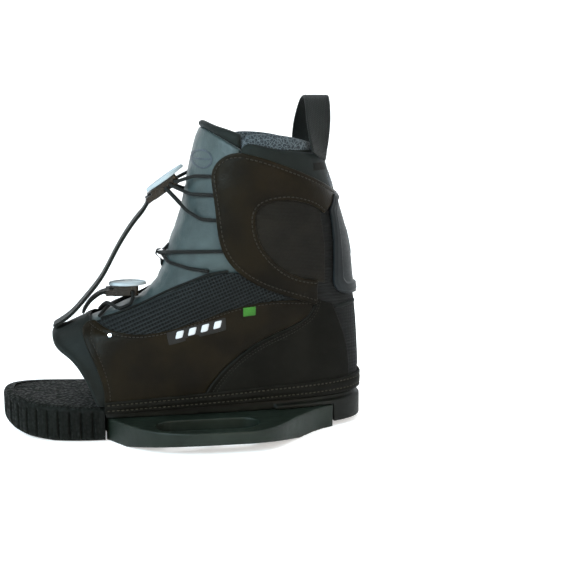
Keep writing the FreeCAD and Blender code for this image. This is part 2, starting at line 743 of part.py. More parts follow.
lower_half = instep_strand(0.0) + instep_turn() + [lock_point(LOWER_LOCK, 5, 13.0, 0)]
lower = lower_half + flip(instep_strand(3.5) + instep_turn() + [lock_point(LOWER_LOCK, 5, 13.0, 0)])
lower_legs = cord("lower_lace", lower, LACE_R)


# ---------------------------------------------------------------- lace locks
def lens(u0, u1, half, w0, w1, square=0.0):
    """Leaf-shaped plate in lock axes."""
    mid = (u0 + u1) / 2
    lateral = Part.Arc(V(u0, -square, w0), V(mid, -half, w0), V(u1, -square, w0)).toShape()
    medial = Part.Arc(V(u0, square, w0), V(mid, half, w0), V(u1, square, w0)).toShape()
    ends = [Part.makeLine(V(u, -square, w0), V(u, square, w0)) for u in (u0, u1)]
    face = Part.Face(Part.Wire(Part.__sortEdges__([lateral, medial] + ends)))
    return face.extrude(V(0, 0, w1 - w0))


def put(shape, lock):
    shape = shape.copy()
    shape.rotate(V(0, 0, 0), V(0, 1, 0), -lock[2])
    shape.translate(V(lock[0], 0, lock[1]))
    return shape


def make_lock(name, lock, front, rear, laces, pin_u, cap_front, cap_rear):
    half = 11.0
    body = box(front, rear, -half, half, -3.0, 5.2)
    for side in (-1, 1):
        y0 = 8.4 if side > 0 else -half
        body = body.fuse(box(pin_u - 2.6, front + 1, y0, y0 + 2.6, -2.6, 2.6))
    body = body.fuse(Part.makeCylinder(PIN_R, 2 * half - 1, V(pin_u, -half + 0.5, 0), V(0, 1, 0)))
    body = body.cut(box(front - 1, rear - 2.0, -6.0, 6.0, 2.85, 4.65))
    body = body.removeSplitter()
    corners = [e for e in body.Edges if abs(e.BoundBox.ZLength - 8.2) < 0.05 and e.BoundBox.XLength < 0.01
               and e.BoundBox.XMin > rear - 0.1]
    body = body.makeFillet(2.5, corners)
    body = put(one_solid(body), lock)
    for legs in laces:
        channel, _ = pipe(legs, LACE_R + 0.12)
        body = one_solid(body.cut(channel))
    keep(name + "_lock_body", body)
    slide_rear = rear - 2.0 - 6.5
    slider = box(front - 3.2, slide_rear, -5.92, 5.92, 2.93, 4.57)
    for i in range(3):
        u = front - 2.6 + i * 0.9
        slider = slider.cut(box(u, u + 0.4, -5.0, 5.0, 4.25, 5.0))
    keep(name + "_lock_slider", put(slider, lock))
    length = rear - 2.0 - slide_rear - 0.3
    coil = Part.makeHelix(length / 5.0, length - 0.5, 0.6)
    wire = Part.Wire(Part.makeCircle(0.18, V(0.6, 0, 0), V(0, 1, 0)))
    spring = Part.Wire(coil.Edges).makePipeShell([wire], True, True)
    spring.rotate(V(0, 0, 0), V(0, 1, 0), 90)
    spring.translate(V(slide_rear + 0.4, 0, 3.75))
    keep(name + "_lock_spring", put(spring, lock))
    cap = lens(cap_front, cap_rear, 11.5, 5.5, 8.3, 2.5)
    rim = [e for e in cap.Edges if abs(e.BoundBox.ZMin - 8.3) < 0.01 and e.BoundBox.ZLength < 0.01]
    cap = cap.makeFillet(1.6, rim)
    keep(name + "_lock_cap", put(cap, lock))
    return lock_point(lock, pin_u, 0, 0)


upper_pin = make_lock("upper", UPPER_LOCK, -13.0, 13.0, (ankle_legs, collar_legs), -17.0, -15.0, 23.0)
lower_pin = make_lock("lower", LOWER_LOCK, -11.0, 10.0, (lower_legs,), -15.0, -15.0, 17.0)


# ---------------------------------------------------------------- straps
def ribbon(points, width, thick):
    """Flat strap whose middle line runs through (x, z) points."""
    upper = []
    lower = []
    for i, p in enumerate(points):
        a = points[max(i - 1, 0)]
        b = points[min(i + 1, len(points) - 1)]
        t = V(b[0] - a[0], 0, b[1] - a[1]).normalize()
        n = V(-t.z, 0, t.x) * (thick / 2)
        upper.append((p[0] + n.x, p[1] + n.z))
        lower.append((p[0] - n.x, p[1] - n.z))
    lower.reverse()
    runs = [upper, [upper[-1], lower[0]], lower, [lower[-1], upper[0]]]
    return prism(runs, lambda x, z: V(x, -width / 2, z), V(0, width, 0))


def pull_strap(name, pin, points, thick, neck, width):
    outer = Part.makeCylinder(PIN_R + PIN_CLEAR + 1.2, neck, V(pin.x, -neck / 2, pin.z), V(0, 1, 0))
    bore = Part.makeCylinder(PIN_R + PIN_CLEAR, 60, V(pin.x, -30, pin.z), V(0, 1, 0))
    line = [(pin.x, pin.z)] + points
    narrow = ribbon(line[:3], neck, thick)
    wide = ribbon(line[2:], width, thick)
    strap = outer.fuse([narrow, wide]).cut(bore)
    keep(name, one_solid(strap.removeSplitter()))


pull_strap("upper_pull_strap", upper_pin,
           [(-46, 188.5), (-51, 182.5), (-62, 167.5), (-72, 150.5), (-83, 131), (-97, 113.5), (-111, 99), (-124, 90.6)],
           STRAP_THICK, 16.4, STRAP_WIDTH)
pull_strap("lower_pull_strap", lower_pin,
           [(-82, 118.2), (-86, 116.4), (-91, 112.8), (-95.6, 107.6), (-99.5, 100.8)], 2.2, 16.4, 18.0)

# ---------------------------------------------------------------- pull loop
tabs = Part.Compound([
    panel((0.1, 1.7), polygon([(91, 222), (104, 222), (103.5, 228.5), (91, 229)])),
    mirrored(panel((0.1, 1.7), polygon([(91, 222), (104, 222), (103.5, 228.5), (91, 229)]))),
])
LOOP_LINE = [(98.0, 41.5, 233.5), (98.3, 39.0, 239.0), (98.8, 35.6, 247.0), (99.6, 30.5, 257.0),
             (100.6, 24.0, 267.0), (101.6, 15.5, 276.5), (102.3, 8.0, 281.6)]


def loop_section(centre, along, twist):
    across = V(math.cos(twist), math.sin(twist), 0)
    across = (across - along * across.dot(along)).normalize()
    out = across.cross(along).normalize()
    a = across * (LOOP_WIDTH / 2)
    b = out * (LOOP_THICK / 2)
    return Part.makePolygon([centre + a + b, centre + a - b, centre - a - b, centre - a + b, centre + a + b])


def make_loop():
    line = [V(x, -y, z) for x, y, z in LOOP_LINE] + [V(102.8, 0, 283.4)]
    line += [V(x, y, z) for x, y, z in reversed(LOOP_LINE)]
    twists = [54, 47, 36, 24, 13, 5, 1, 0]
    twists = twists + [-t for t in reversed(twists[:-1])]
    rings = []
    for i, p in enumerate(line):
        along = (line[min(i + 1, len(line) - 1)] - line[max(i - 1, 0)]).normalize()
        rings.append(loop_section(p, along, math.radians(twists[i])))
    loop = Part.makeLoft(rings, True, False)
    # a rolled hem at each foot, on the line about which the loop folds
    for y in (-46.0, 40.0):
        loop = loop.fuse(Part.makeCylinder(1.7, 6.0, V(LOOP_AXIS[0], y, LOOP_AXIS[1]), V(0, 1, 0)))
    return one_solid(loop.removeSplitter())


loop = make_loop()
keep("pull_loop", loop)
# the sewn tabs leave room for the loop's feet over its whole fold
for angle in (0, 6, 12, 18, 24):
    folded = loop.copy()
    folded.rotate(V(LOOP_AXIS[0], 0, LOOP_AXIS[1]), V(0, 1, 0), angle)
    tabs = tabs.cut(folded)
keep("loop_tabs", tabs)

# ---------------------------------------------------------------- trims
badge = panel((0.1, 0.6), polygon([(-31, 91), (18, 102), (18.5, 91.5), (-29.5, 80)]))
for k in range(4):
    x0 = -24 + 10.5 * k
    z0 = 85.2 + 0.225 * (x0 + 24)
    bar = panel((0.5, 1.0), polygon([(x0, z0), (x0 + 6, z0 + 1.3), (x0 + 7.5, z0 + 7.6), (x0 + 1.5, z0 + 6.3)]))
    badge = badge.fuse(bar)
keep("side_badge", one_solid(badge))
keep("side_tag", panel((0.1, 0.7), polygon([(33, 109.5), (43.5, 110.3), (43.5, 102.8), (33, 102)])))


def stud(x, z, side):
    p = on_side(x, z, 0.0, side)
    return Part.makeCylinder(1.7, 0.9, p, normal(p))


keep("rivets", Part.Compound([stud(-77, 89, -1), stud(-77, 89, 1)]))

ring = Part.makeCylinder(8.0, 80, V(2, 0, 232), V(0, -1, 0)).cut(Part.makeCylinder(6.4, 80, V(2, 0, 232), V(0, -1, 0)))
ring = ring.fuse(box(-4.8, 8.8, -80, 0, 231.2, 232.8))
keep("tongue_emblem", one_solid(layer((-4.2, -3.5)).common(ring)))


def make_keeper():
    """Small webbing bridge that holds the crossed lace on the tongue."""
    def at(z, distance):
        p = on_front(0.0, z, distance)
        return (p.x, p.z)
    outer = [at(141, -4.2), at(141, -3.2), at(146.2, -1.0), at(148.5, 4.4), at(152.5, 4.4), at(155, -1.0),
             at(160, -3.2), at(160, -4.2)]
    inner = [at(155.6, -4.2), at(154.2, 0.5), at(152.2, 3.4), at(148.8, 3.4), at(147, 0.5), at(145.6, -4.2)]
    return prism(polygon(outer + inner), lambda x, z: V(x, -3.5, z), V(0, 7, 0))


keep("tongue_keeper", make_keeper())


def make_piping():
    pts = []
    stations = [(-85, 100.2)] + LACE_EDGE[1:-1] + [(21, 139.3)]
    for i, (x, z) in enumerate(stations):
        a = stations[max(i - 1, 0)]
        b = stations[min(i + 1, len(stations) - 1)]
        p = on_side(x, z, -1.4)
        run = (on_side(b[0], b[1], 0) - on_side(a[0], a[1], 0)).normalize()
        across = run.cross(normal(p)).normalize()
        if across.z < 0:
            across = across * -1
        pts.append(p + across * 1.6)
    curve = Part.BSplineCurve()
    curve.interpolate(pts)
    path = Part.Wire(curve.toShape())
    shapes = []
    for radius in (1.1, 1.25):
        ring = Part.Wire(Part.makeCircle(radius, pts[0], (pts[1] - pts[0])))
        shapes.append(path.makePipeShell([ring], True, False))
    return shapes


piping, groove = make_piping()
keep_pair("piping", piping)
lower_channel, _ = pipe(lower_legs, LACE_R + 0.1)
keep_pair("mesh_panel", one_solid(one_solid(mesh.cut(groove)).cut(lower_channel)))


for name in sorted(PARTS):
    PARTS[name].exportStep("parts/" + name + ".step")
    print(name, PARTS[name].isValid(), len(PARTS[name].Solids), round(PARTS[name].Volume / 1000, 1))
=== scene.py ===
import math

import bmesh
import bpy
import numpy as np
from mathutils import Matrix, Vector, noise
from mathutils.geometry import delaunay_2d_cdt


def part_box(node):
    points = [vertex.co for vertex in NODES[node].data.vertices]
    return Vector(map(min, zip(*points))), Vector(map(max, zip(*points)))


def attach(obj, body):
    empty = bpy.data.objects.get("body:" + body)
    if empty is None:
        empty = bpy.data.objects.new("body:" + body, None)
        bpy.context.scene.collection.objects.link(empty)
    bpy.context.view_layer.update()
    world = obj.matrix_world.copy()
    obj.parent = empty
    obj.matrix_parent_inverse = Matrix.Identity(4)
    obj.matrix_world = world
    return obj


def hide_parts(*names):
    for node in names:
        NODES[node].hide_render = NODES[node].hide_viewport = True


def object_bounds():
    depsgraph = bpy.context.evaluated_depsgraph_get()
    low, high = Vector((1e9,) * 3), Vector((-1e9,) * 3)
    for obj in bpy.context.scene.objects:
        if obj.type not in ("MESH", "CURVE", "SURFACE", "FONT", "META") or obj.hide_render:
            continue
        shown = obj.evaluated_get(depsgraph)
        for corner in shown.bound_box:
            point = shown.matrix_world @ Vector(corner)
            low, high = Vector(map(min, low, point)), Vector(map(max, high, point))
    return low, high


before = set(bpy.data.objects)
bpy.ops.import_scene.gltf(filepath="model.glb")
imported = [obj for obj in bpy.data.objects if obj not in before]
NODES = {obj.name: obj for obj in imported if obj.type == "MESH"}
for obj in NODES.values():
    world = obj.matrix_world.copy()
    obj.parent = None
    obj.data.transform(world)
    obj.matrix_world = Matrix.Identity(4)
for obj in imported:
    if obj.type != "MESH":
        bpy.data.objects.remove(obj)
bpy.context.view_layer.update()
MM = 0.001
UV = "mm"
LATERAL, MEDIAL = -1, 1

# ------------------------------------------------------------------ camera
camera_data = bpy.data.cameras.new("camera")
camera = bpy.data.objects.new("camera", camera_data)
bpy.context.scene.collection.objects.link(camera)
camera_data.sensor_width = 36.0
camera_data.lens = 65.56
camera.location = (-0.0730, -0.8905, 0.2761)
camera.rotation_euler = (math.radians(90 - 9.856), 0.0, math.radians(-9.524))
bpy.context.scene.camera = camera

# ------------------------------------------------------------------ section surface of the upper, mm
# height, heel end, toe end, widest station, half width, heel exponent, toe exponent
SECTIONS = np.array([
    (20, 141, -182, -60, 50.0, 3.0, 2.3), (34, 141, -180, -58, 52.0, 3.0, 2.3),
    (50, 141, -170, -54, 52.5, 2.9, 2.2), (62, 140.5, -158, -48, 52.0, 2.8, 2.2),
    (72, 140, -146, -42, 51.0, 2.8, 2.2), (80, 139.5, -136, -36, 50.5, 2.7, 2.1),
    (88, 139, -124, -30, 50.0, 2.6, 2.1), (96, 138.3, -106, -18, 49.5, 2.6, 2.1),
    (104, 137.5, -86, -4, 49.0, 2.5, 2.1), (112, 136.5, -67, 10, 49.0, 2.5, 2.1),
    (120, 135, -50, 23, 49.5, 2.4, 2.1), (130, 133, -40, 32, 51.0, 2.4, 2.1),
    (145, 131, -34, 38, 53.5, 2.4, 2.1), (165, 127, -27, 44, 57.0, 2.4, 2.1),
    (185, 121.5, -20, 49, 59.0, 2.4, 2.1), (205, 115.5, -15, 52, 59.5, 2.4, 2.1),
    (225, 109, -11, 54, 58.0, 2.4, 2.1), (245, 103, -6, 55, 56.0, 2.4, 2.1),
    (268, 97, 1, 56, 55.0, 2.4, 2.1)], float)


def slopes(x, y):
    """Slopes of a shape-preserving cubic through a table."""
    h = np.diff(x)
    d = np.diff(y) / h
    m = np.concatenate([[d[0]], np.zeros(len(x) - 2), [d[-1]]])
    for i in range(1, len(x) - 1):
        if d[i - 1] * d[i] > 0:
            a, b = 2 * h[i] + h[i - 1], h[i] + 2 * h[i - 1]
            m[i] = (a + b) / (a / d[i - 1] + b / d[i])
    return m


SLOPES = [slopes(SECTIONS[:, 0], SECTIONS[:, k]) for k in range(1, 7)]


def section(z):
    """The six section values at each height z."""
    zs = SECTIONS[:, 0]
    z = np.clip(z, zs[0], zs[-1])
    i = np.clip(np.searchsorted(zs, z, side="right") - 1, 0, len(zs) - 2)
    h = zs[i + 1] - zs[i]
    t = (z - zs[i]) / h
    a, b = (1 + 2 * t) * (1 - t) ** 2, t * (1 - t) ** 2
    c, d = t * t * (3 - 2 * t), t * t * (t - 1)
    return [a * SECTIONS[i, k + 1] + b * h * SLOPES[k][i] + c * SECTIONS[i + 1, k + 1] + d * h * SLOPES[k][i + 1]
            for k in range(6)]


RING_Z = np.arange(20.0, 268.5, 2.0)
RING_N = 321


def build_rings():
    """Half sections resampled to even arc length, with their outward normals."""
    angle = np.pi * (0.5 - 0.5 * np.cos(np.pi * np.arange(1201) / 1200))
    xs, ss = [], []
    for z in RING_Z:
        heel, toe, mid, half, n_heel, n_toe = section(np.array(z))
        c, s = np.cos(angle), np.maximum(np.sin(angle), 0)
        n = np.where(c >= 0, n_heel, n_toe)
        reach = np.where(c >= 0, heel - mid, mid - toe)
        x = mid + np.sign(c) * reach * np.abs(c) ** (2 / n)
        y = half * s ** (2 / n)
        run = np.concatenate([[0], np.cumsum(np.hypot(np.diff(x), np.diff(y)))])
        even = np.linspace(0, run[-1], RING_N)
        xs.append(np.interp(even, run, x))
        ss.append(np.interp(even, run, y))
    points = np.stack([np.array(xs), np.array(ss), np.repeat(RING_Z[:, None], RING_N, 1)], -1)
    along = np.gradient(points, axis=1)
    up = np.gradient(points, axis=0)
    normals = np.cross(along, up)
    normals[:, 0, 1] = 0
    normals[:, -1, 1] = 0
    normals /= np.linalg.norm(normals, axis=2)[..., None]
    return points, normals


RINGS, RING_NORMALS = build_rings()


def lookup(table, f, z):
    """Bilinear reading of a ring table at arc share f and height z."""
    r = np.clip((z - RING_Z[0]) / 2.0, 0, len(RING_Z) - 1.001)
    k = np.clip(f, 0, 1) * (RING_N - 1)
    k = np.minimum(k, RING_N - 1.001)
    i, j = r.astype(int), k.astype(int)
    a, b = (r - i)[:, None], (k - j)[:, None]
    return ((1 - a) * ((1 - b) * table[i, j] + b * table[i, j + 1])
            + a * ((1 - b) * table[i + 1, j] + b * table[i + 1, j + 1]))


def ring_at(z, axis):
    """x (axis 0) or half width (axis 1) round the half section at height z."""
    r = min(max((z - RING_Z[0]) / 2.0, 0), len(RING_Z) - 1.001)
    i, a = int(r), r - int(r)
    return (1 - a) * RINGS[i, :, axis] + a * RINGS[i + 1, :, axis]


class Chart:
    """Flat chart of the upper. u is millimetres round the section from the heel or toe middle line,
    positive on the lateral side, and the second coordinate is height."""

    def __init__(self, length, centre="heel"):
        self.length = length
        self.centre = centre

    def place(self, uv, offset=0.0):
        """Points and normals at a distance from the section surface."""
        uv = np.atleast_2d(np.asarray(uv, float))
        g = uv[:, 0] / self.length
        f = np.abs(g) if self.centre == "heel" else 1 - np.abs(g)
        side = np.where(g >= 0, LATERAL, MEDIAL)
        p, n = lookup(RINGS, f, uv[:, 1]), lookup(RING_NORMALS, f, uv[:, 1])
        n /= np.linalg.norm(n, axis=1)[:, None]
        p[:, 2] = uv[:, 1]
        p[:, 1] *= side
        n[:, 1] *= side
        return p + n * np.reshape(offset, (-1, 1)), n

    def from_side(self, points):
        """Chart coordinates of (x, z) points seen from the lateral side."""
        out = []
        for x, z in points:
            ring = ring_at(z, 0)
            f = np.interp(-x, -ring, np.linspace(0, 1, RING_N))
            out.append(((f if self.centre == "heel" else 1 - f) * self.length, z))
        return np.array(out)

    def from_back(self, points):
        """Chart coordinates of (y, z) points seen from behind."""
        out = []
        for y, z in points:
            ring = ring_at(z, 1)
            top = int(np.argmax(ring))
            f = np.interp(abs(y), ring[:top + 1], np.linspace(0, 1, RING_N)[:top + 1])
            out.append((-math.copysign(f, y) * self.length, z))
        return np.array(out)


# ------------------------------------------------------------------ curves in a plane or in space
def run_along(p):
    """Length from the start to each point of a polyline."""
    return np.concatenate([[0], np.cumsum(np.linalg.norm(np.diff(p, axis=0), axis=1))])


def tangents(p):
    t = np.gradient(p, axis=0)
    return t / np.linalg.norm(t, axis=1)[:, None]


def rounded(t):
    """Quarter-circle rise from 0 at t = 0 to 1 at t = 1."""
    return np.sqrt(np.maximum(0, 1 - (1 - np.clip(t, 0, 1)) ** 2))


def spline(points, count=None, step=1.0):
    """Smooth curve through points, evenly spaced."""
    p = np.asarray(points, float)
    t = np.concatenate([[0], np.cumsum(np.linalg.norm(np.diff(p, axis=0), axis=1) ** 0.75)])
    n = len(p)
    if n == 2:
        dense = p[0] + (p[1] - p[0]) * np.linspace(0, 1, 50)[:, None]
    else:
        h = np.diff(t)
        a = np.zeros((n, n))
        b = np.zeros_like(p)
        a[0, 0] = a[-1, -1] = 1
        for i in range(1, n - 1):
            a[i, i - 1], a[i, i], a[i, i + 1] = h[i - 1], 2 * (h[i - 1] + h[i]), h[i]
            b[i] = 6 * ((p[i + 1] - p[i]) / h[i] - (p[i] - p[i - 1]) / h[i - 1])
        m = np.linalg.solve(a, b)
        q = np.linspace(0, t[-1], 40 * n)
        i = np.clip(np.searchsorted(t, q, side="right") - 1, 0, n - 2)
        hh = h[i][:, None]
        l, r = (t[i + 1] - q)[:, None], (q - t[i])[:, None]
        dense = (m[i] * l ** 3 + m[i + 1] * r ** 3) / (6 * hh) + (p[i] / hh - m[i] * hh / 6) * l \
            + (p[i + 1] / hh - m[i + 1] * hh / 6) * r
    return even(dense, count, step)


def even(dense, count=None, step=1.0):
    """Resamples a polyline to even spacing."""
    run = run_along(dense)
    count = count or max(2, int(round(run[-1] / step)) + 1)
    goal = np.linspace(0, run[-1], count)
    return np.stack([np.interp(goal, run, dense[:, k]) for k in range(dense.shape[1])], -1)


def joined(runs, step):
    """One path from runs that follow each other, corners kept."""
    parts = [spline(run, step=step) for run in runs]
    out = [parts[0]]
    for part in parts[1:]:
        out.append(part[1:] if np.linalg.norm(part[0] - out[-1][-1]) < 0.4 * step else part)
    return np.concatenate(out)


def straight(points):
    """Straight runs from each point to the next."""
    return [[a, b] for a, b in zip(points, points[1:])]


def from_ends(path):
    """Number of points between each point and the nearer end."""
    n = np.arange(len(path))
    return np.minimum(n, n[::-1])


def closed(path):
    return path[:-1] if np.linalg.norm(path[0] - path[-1]) < 0.05 else path


def both_sides(half):
    """Closed outline from a half path that starts and ends on the middle line."""
    half = half.copy()
    half[0, 0] = half[-1, 0] = 0
    return np.concatenate([half, (half * (-1, 1))[-2:0:-1]])


def counterclockwise(p):
    q = np.roll(p, -1, 0)
    return p if (p[:, 0] * q[:, 1] - q[:, 0] * p[:, 1]).sum() > 0 else p[::-1].copy()


def distance(points, line, loop=False):
    """Distance from each point to a polyline, in any dimension."""
    a = line if loop else line[:-1]
    b = np.roll(line, -1, 0) if loop else line[1:]
    d = b - a
    dd = np.maximum((d * d).sum(1), 1e-12)
    out = np.empty(len(points))
    for s in range(0, len(points), 1500):
        p = points[s:s + 1500, None, :]
        t = np.clip(((p - a) * d).sum(2) / dd, 0, 1)
        out[s:s + 1500] = np.sqrt((((p - a) - t[..., None] * d) ** 2).sum(2).min(1))
    return out


def inside(points, outline):
    x, y = points[:, 0:1], points[:, 1:2]
    x0, y0 = outline[:, 0], outline[:, 1]
    x1, y1 = np.roll(x0, -1), np.roll(y0, -1)
    cross = ((y0 > y) != (y1 > y)) & (x < (x1 - x0) * (y - y0) / np.where(y1 == y0, 1e-9, y1 - y0) + x0)
    return cross.sum(1) % 2 == 1


def beside(path, gap, loop=False):
    """Path moved to its left by gap."""
    if loop:
        t = np.roll(path, -1, 0) - np.roll(path, 1, 0)
    else:
        t = np.gradient(path, axis=0)
    t /= np.maximum(np.linalg.norm(t, axis=1), 1e-9)[:, None]
    return path + np.stack([-t[:, 1], t[:, 0]], -1) * gap


def inset(path, gap, loop=False):
    """Path moved to its left, without the stretches that fold over."""
    q = beside(path, gap, loop)
    return q[distance(q, path, loop) > abs(gap) * 0.96]


ROW_HEIGHT = 0.866       # of a triangular grid, over its step
CLEAR_OF_RIM = 0.18      # least distance of an inner point from the outline
MERGE = 0.22             # points nearer than this become one


def fill(outline, steps, rings, lines=()):
    """Triangulates an outline: rings of points near its edge, rows along lines, a grid in between.
    steps is the grid spacing along both axes."""
    outline = counterclockwise(outline)
    scale = np.array([steps[1] / steps[0], 1.0])
    step = steps[1]
    points = [outline]
    taken = outline * scale
    rows = [inset(outline, gap, loop=True) for gap in rings]
    for line, gaps in lines:
        for gap in gaps:
            q = beside(line, gap)
            rows.append(q[inside(q, outline)])
    near = []
    for row in rows:
        last = None
        for p in row:
            if last is None or np.hypot(*(p - last)) > 0.25 * min(steps[0], 1.4):
                near.append(p)
                last = p
    if near:
        near = np.array(near)
        cell = {}
        for p in near[distance(near, outline, True) > CLEAR_OF_RIM]:
            cell.setdefault((round(p[0] / MERGE), round(p[1] / MERGE)), p)
        near = np.array(list(cell.values()))
        points.append(near)
        taken = np.concatenate([taken, near * scale])
    low, high = outline.min(0), outline.max(0)
    nx = int((high[0] - low[0]) / steps[0]) + 3
    ny = int((high[1] - low[1]) / (steps[1] * ROW_HEIGHT)) + 3
    gx, gy = np.meshgrid(np.arange(nx), np.arange(ny))
    x = low[0] + (gx + 0.5 * (gy % 2)) * steps[0]
    y = low[1] + gy * steps[1] * ROW_HEIGHT
    grid = np.stack([x.ravel(), y.ravel()], -1)
    grid = grid[inside(grid, outline)]
    if len(grid):
        from_taken = np.full(len(grid), 1e9)
        g = grid * scale
        for s in range(0, len(g), 1500):
            d2 = ((g[s:s + 1500, None, :] - taken[None]) ** 2).sum(2)
            from_taken[s:s + 1500] = np.sqrt(d2.min(1))
        points.append(grid[from_taken > 0.6 * step])
    every = np.concatenate(points)
    made = delaunay_2d_cdt([Vector((*p, 0.0)).to_2d() for p in every * scale], [],
                           [list(range(len(outline)))], 1, 1e-5)
    verts = np.array([tuple(v) for v in made[0]]) / scale
    tris = np.array([f for f in made[2] if len(f) == 3], int)
    a, b, c = verts[tris[:, 0]], verts[tris[:, 1]], verts[tris[:, 2]]
    area = (b[:, 0] - a[:, 0]) * (c[:, 1] - a[:, 1]) - (b[:, 1] - a[:, 1]) * (c[:, 0] - a[:, 0])
    tris = tris[np.abs(area) > 1e-7]
    flip = area[np.abs(area) > 1e-7] < 0
    tris[flip] = tris[flip][:, ::-1]
    return verts, tris


# ------------------------------------------------------------------ meshes
def new_mesh(name, verts, faces, uvs=None, smooth=True):
    """Object from millimetre points. uvs is one pair per vertex."""
    mesh = bpy.data.meshes.new(name)
    mesh.from_pydata([tuple(v) for v in np.asarray(verts, float) * MM], [], [list(map(int, f)) for f in faces])
    if uvs is not None:
        layer = mesh.uv_layers.new(name=UV)
        index = np.zeros(len(mesh.loops), int)
        mesh.loops.foreach_get("vertex_index", index)
        layer.data.foreach_set("uv", np.asarray(uvs, np.float32)[index].ravel())
    mesh.polygons.foreach_set("use_smooth", [smooth] * len(mesh.polygons))
    mesh.validate()
    obj = bpy.data.objects.new(name, mesh)
    bpy.context.scene.collection.objects.link(obj)
    return obj


def cleaned(obj, change=None):
    """Applies one bmesh change, turns all faces outward and shades them smooth."""
    work = bmesh.new()
    work.from_mesh(obj.data)
    if change:
        change(work)
    bmesh.ops.recalc_face_normals(work, faces=work.faces)
    work.to_mesh(obj.data)
    work.free()
    obj.data.polygons.foreach_set("use_smooth", [True] * len(obj.data.polygons))
    return obj


def float_attribute(obj, name, values):
    attribute = obj.data.attributes.new(name, "FLOAT", "POINT")
    attribute.data.foreach_set("value", np.asarray(values, np.float32))


def finish_piece(obj, material, body="boot", nodes=()):
    obj.data.materials.clear()
    obj.data.materials.append(material)
    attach(obj, body)
    if nodes:
        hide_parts(*nodes)
    return obj


def open_edge(tris):
    """Vertices on the rim of a triangulation."""
    e = np.sort(np.concatenate([tris[:, [0, 1]], tris[:, [1, 2]], tris[:, [2, 0]]]), 1)
    unique, count = np.unique(e, axis=0, return_counts=True)
    return np.unique(unique[count == 1])


def shell(name, chart, verts, tris, rim, span, edge, relief, mirror):
    """Closed thin shell over a chart region, with rounded edges.
    relief(uv, points, to_rim) gives extra outward height of the outer face."""
    flip = (-1, 1) if mirror else (1, 1)
    uv = verts * flip
    base, normals = chart.place(uv)
    to_rim = distance(base, chart.place(rim * flip)[0], True)
    swell = rounded(to_rim / edge)
    middle, half = (span[0] + span[1]) / 2, (span[1] - span[0]) / 2
    extra = relief(uv, base, to_rim) * np.clip(to_rim / 1.2, 0, 1)
    on_rim = open_edge(tris)
    swell[on_rim] = 0
    top = base + normals * (middle + half * swell + extra)[:, None]
    low = base + normals * (middle - half * swell)[:, None]
    top[on_rim] = (base + normals * middle)[on_rim]
    index = np.full(len(verts), -1)
    keep = np.setdiff1d(np.arange(len(verts)), on_rim)
    index[keep] = len(verts) + np.arange(len(keep))
    index[on_rim] = on_rim
    out_tris = tris[:, ::-1] if mirror else tris
    in_tris = index[out_tris[:, ::-1]]
    faces = np.concatenate([out_tris, in_tris])
    points = np.concatenate([top, low[keep]])
    a, b, c = top[out_tris[:, 0]], top[out_tris[:, 1]], top[out_tris[:, 2]]
    if (np.cross(b - a, c - a) * normals[out_tris[:, 0]]).sum() < 0:
        faces = faces[:, ::-1]
    uvs = np.concatenate([uv, uv[keep]])
    obj = new_mesh(name, points, faces, uvs)
    float_attribute(obj, "rim", np.concatenate([to_rim, to_rim[keep]]))
    return obj


def wander(points, size, seed):
    """Smooth random heights, about -1 to 1, with waves of the given size in millimetres."""
    return np.array([noise.noise(Vector(p / size + seed)) for p in np.asarray(points)])


def swept_faces(rows, ring, base=0):
    """Faces of a swept closed section with rows rings of ring points, capped at both ends."""
    faces = []
    for i in range(rows - 1):
        q = base + i * ring
        faces += [(q + j, q + (j + 1) % ring, q + ring + (j + 1) % ring, q + ring + j) for j in range(ring)]
    faces.append([base + j for j in range(ring - 1, -1, -1)])
    faces.append([base + (rows - 1) * ring + j for j in range(ring)])
    return faces


def stitches(points, normals, length, gap, radius):
    """Row of small threads laid along 3-D points."""
    run = run_along(points)
    count = max(1, int(run[-1] / (length + gap)))
    pitch = run[-1] / count
    verts, faces = [], []
    stations = np.array([0.0, 0.12, 0.5, 0.88, 1.0])
    girth = np.array([0.45, 0.95, 1.05, 0.95, 0.45])
    sink = np.array([-0.9, -0.25, 0.1, -0.25, -0.9])
    for k in range(count):
        s = k * pitch + gap / 2 + stations * (pitch - gap)
        p = np.stack([np.interp(s, run, points[:, i]) for i in range(3)], -1)
        n = np.stack([np.interp(s, run, normals[:, i]) for i in range(3)], -1)
        n /= np.linalg.norm(n, axis=1)[:, None]
        t = p[-1] - p[0]
        t /= np.linalg.norm(t)
        base = len(verts)
        for i in range(5):
            c = p[i] + n[i] * sink[i] * radius
            b = np.cross(t, n[i])
            for j in range(6):
                a = math.pi * j / 3
                verts.append(c + (b * math.cos(a) + n[i] * math.sin(a)) * radius * girth[i])
        faces += swept_faces(5, 6, base)
    return verts, faces


def stitch_rows(name, rows, material, slot, body, length, gap, radius):
    """One piece from several rows, each (points, normals)."""
    verts, faces = [], []
    for points, normals in rows:
        v, f = stitches(points, normals, length, gap, radius)
        faces += [tuple(i + len(verts) for i in face) for face in f]
        verts += v
    obj = new_mesh(name, verts, faces)
    return finish_piece(obj, material, body)


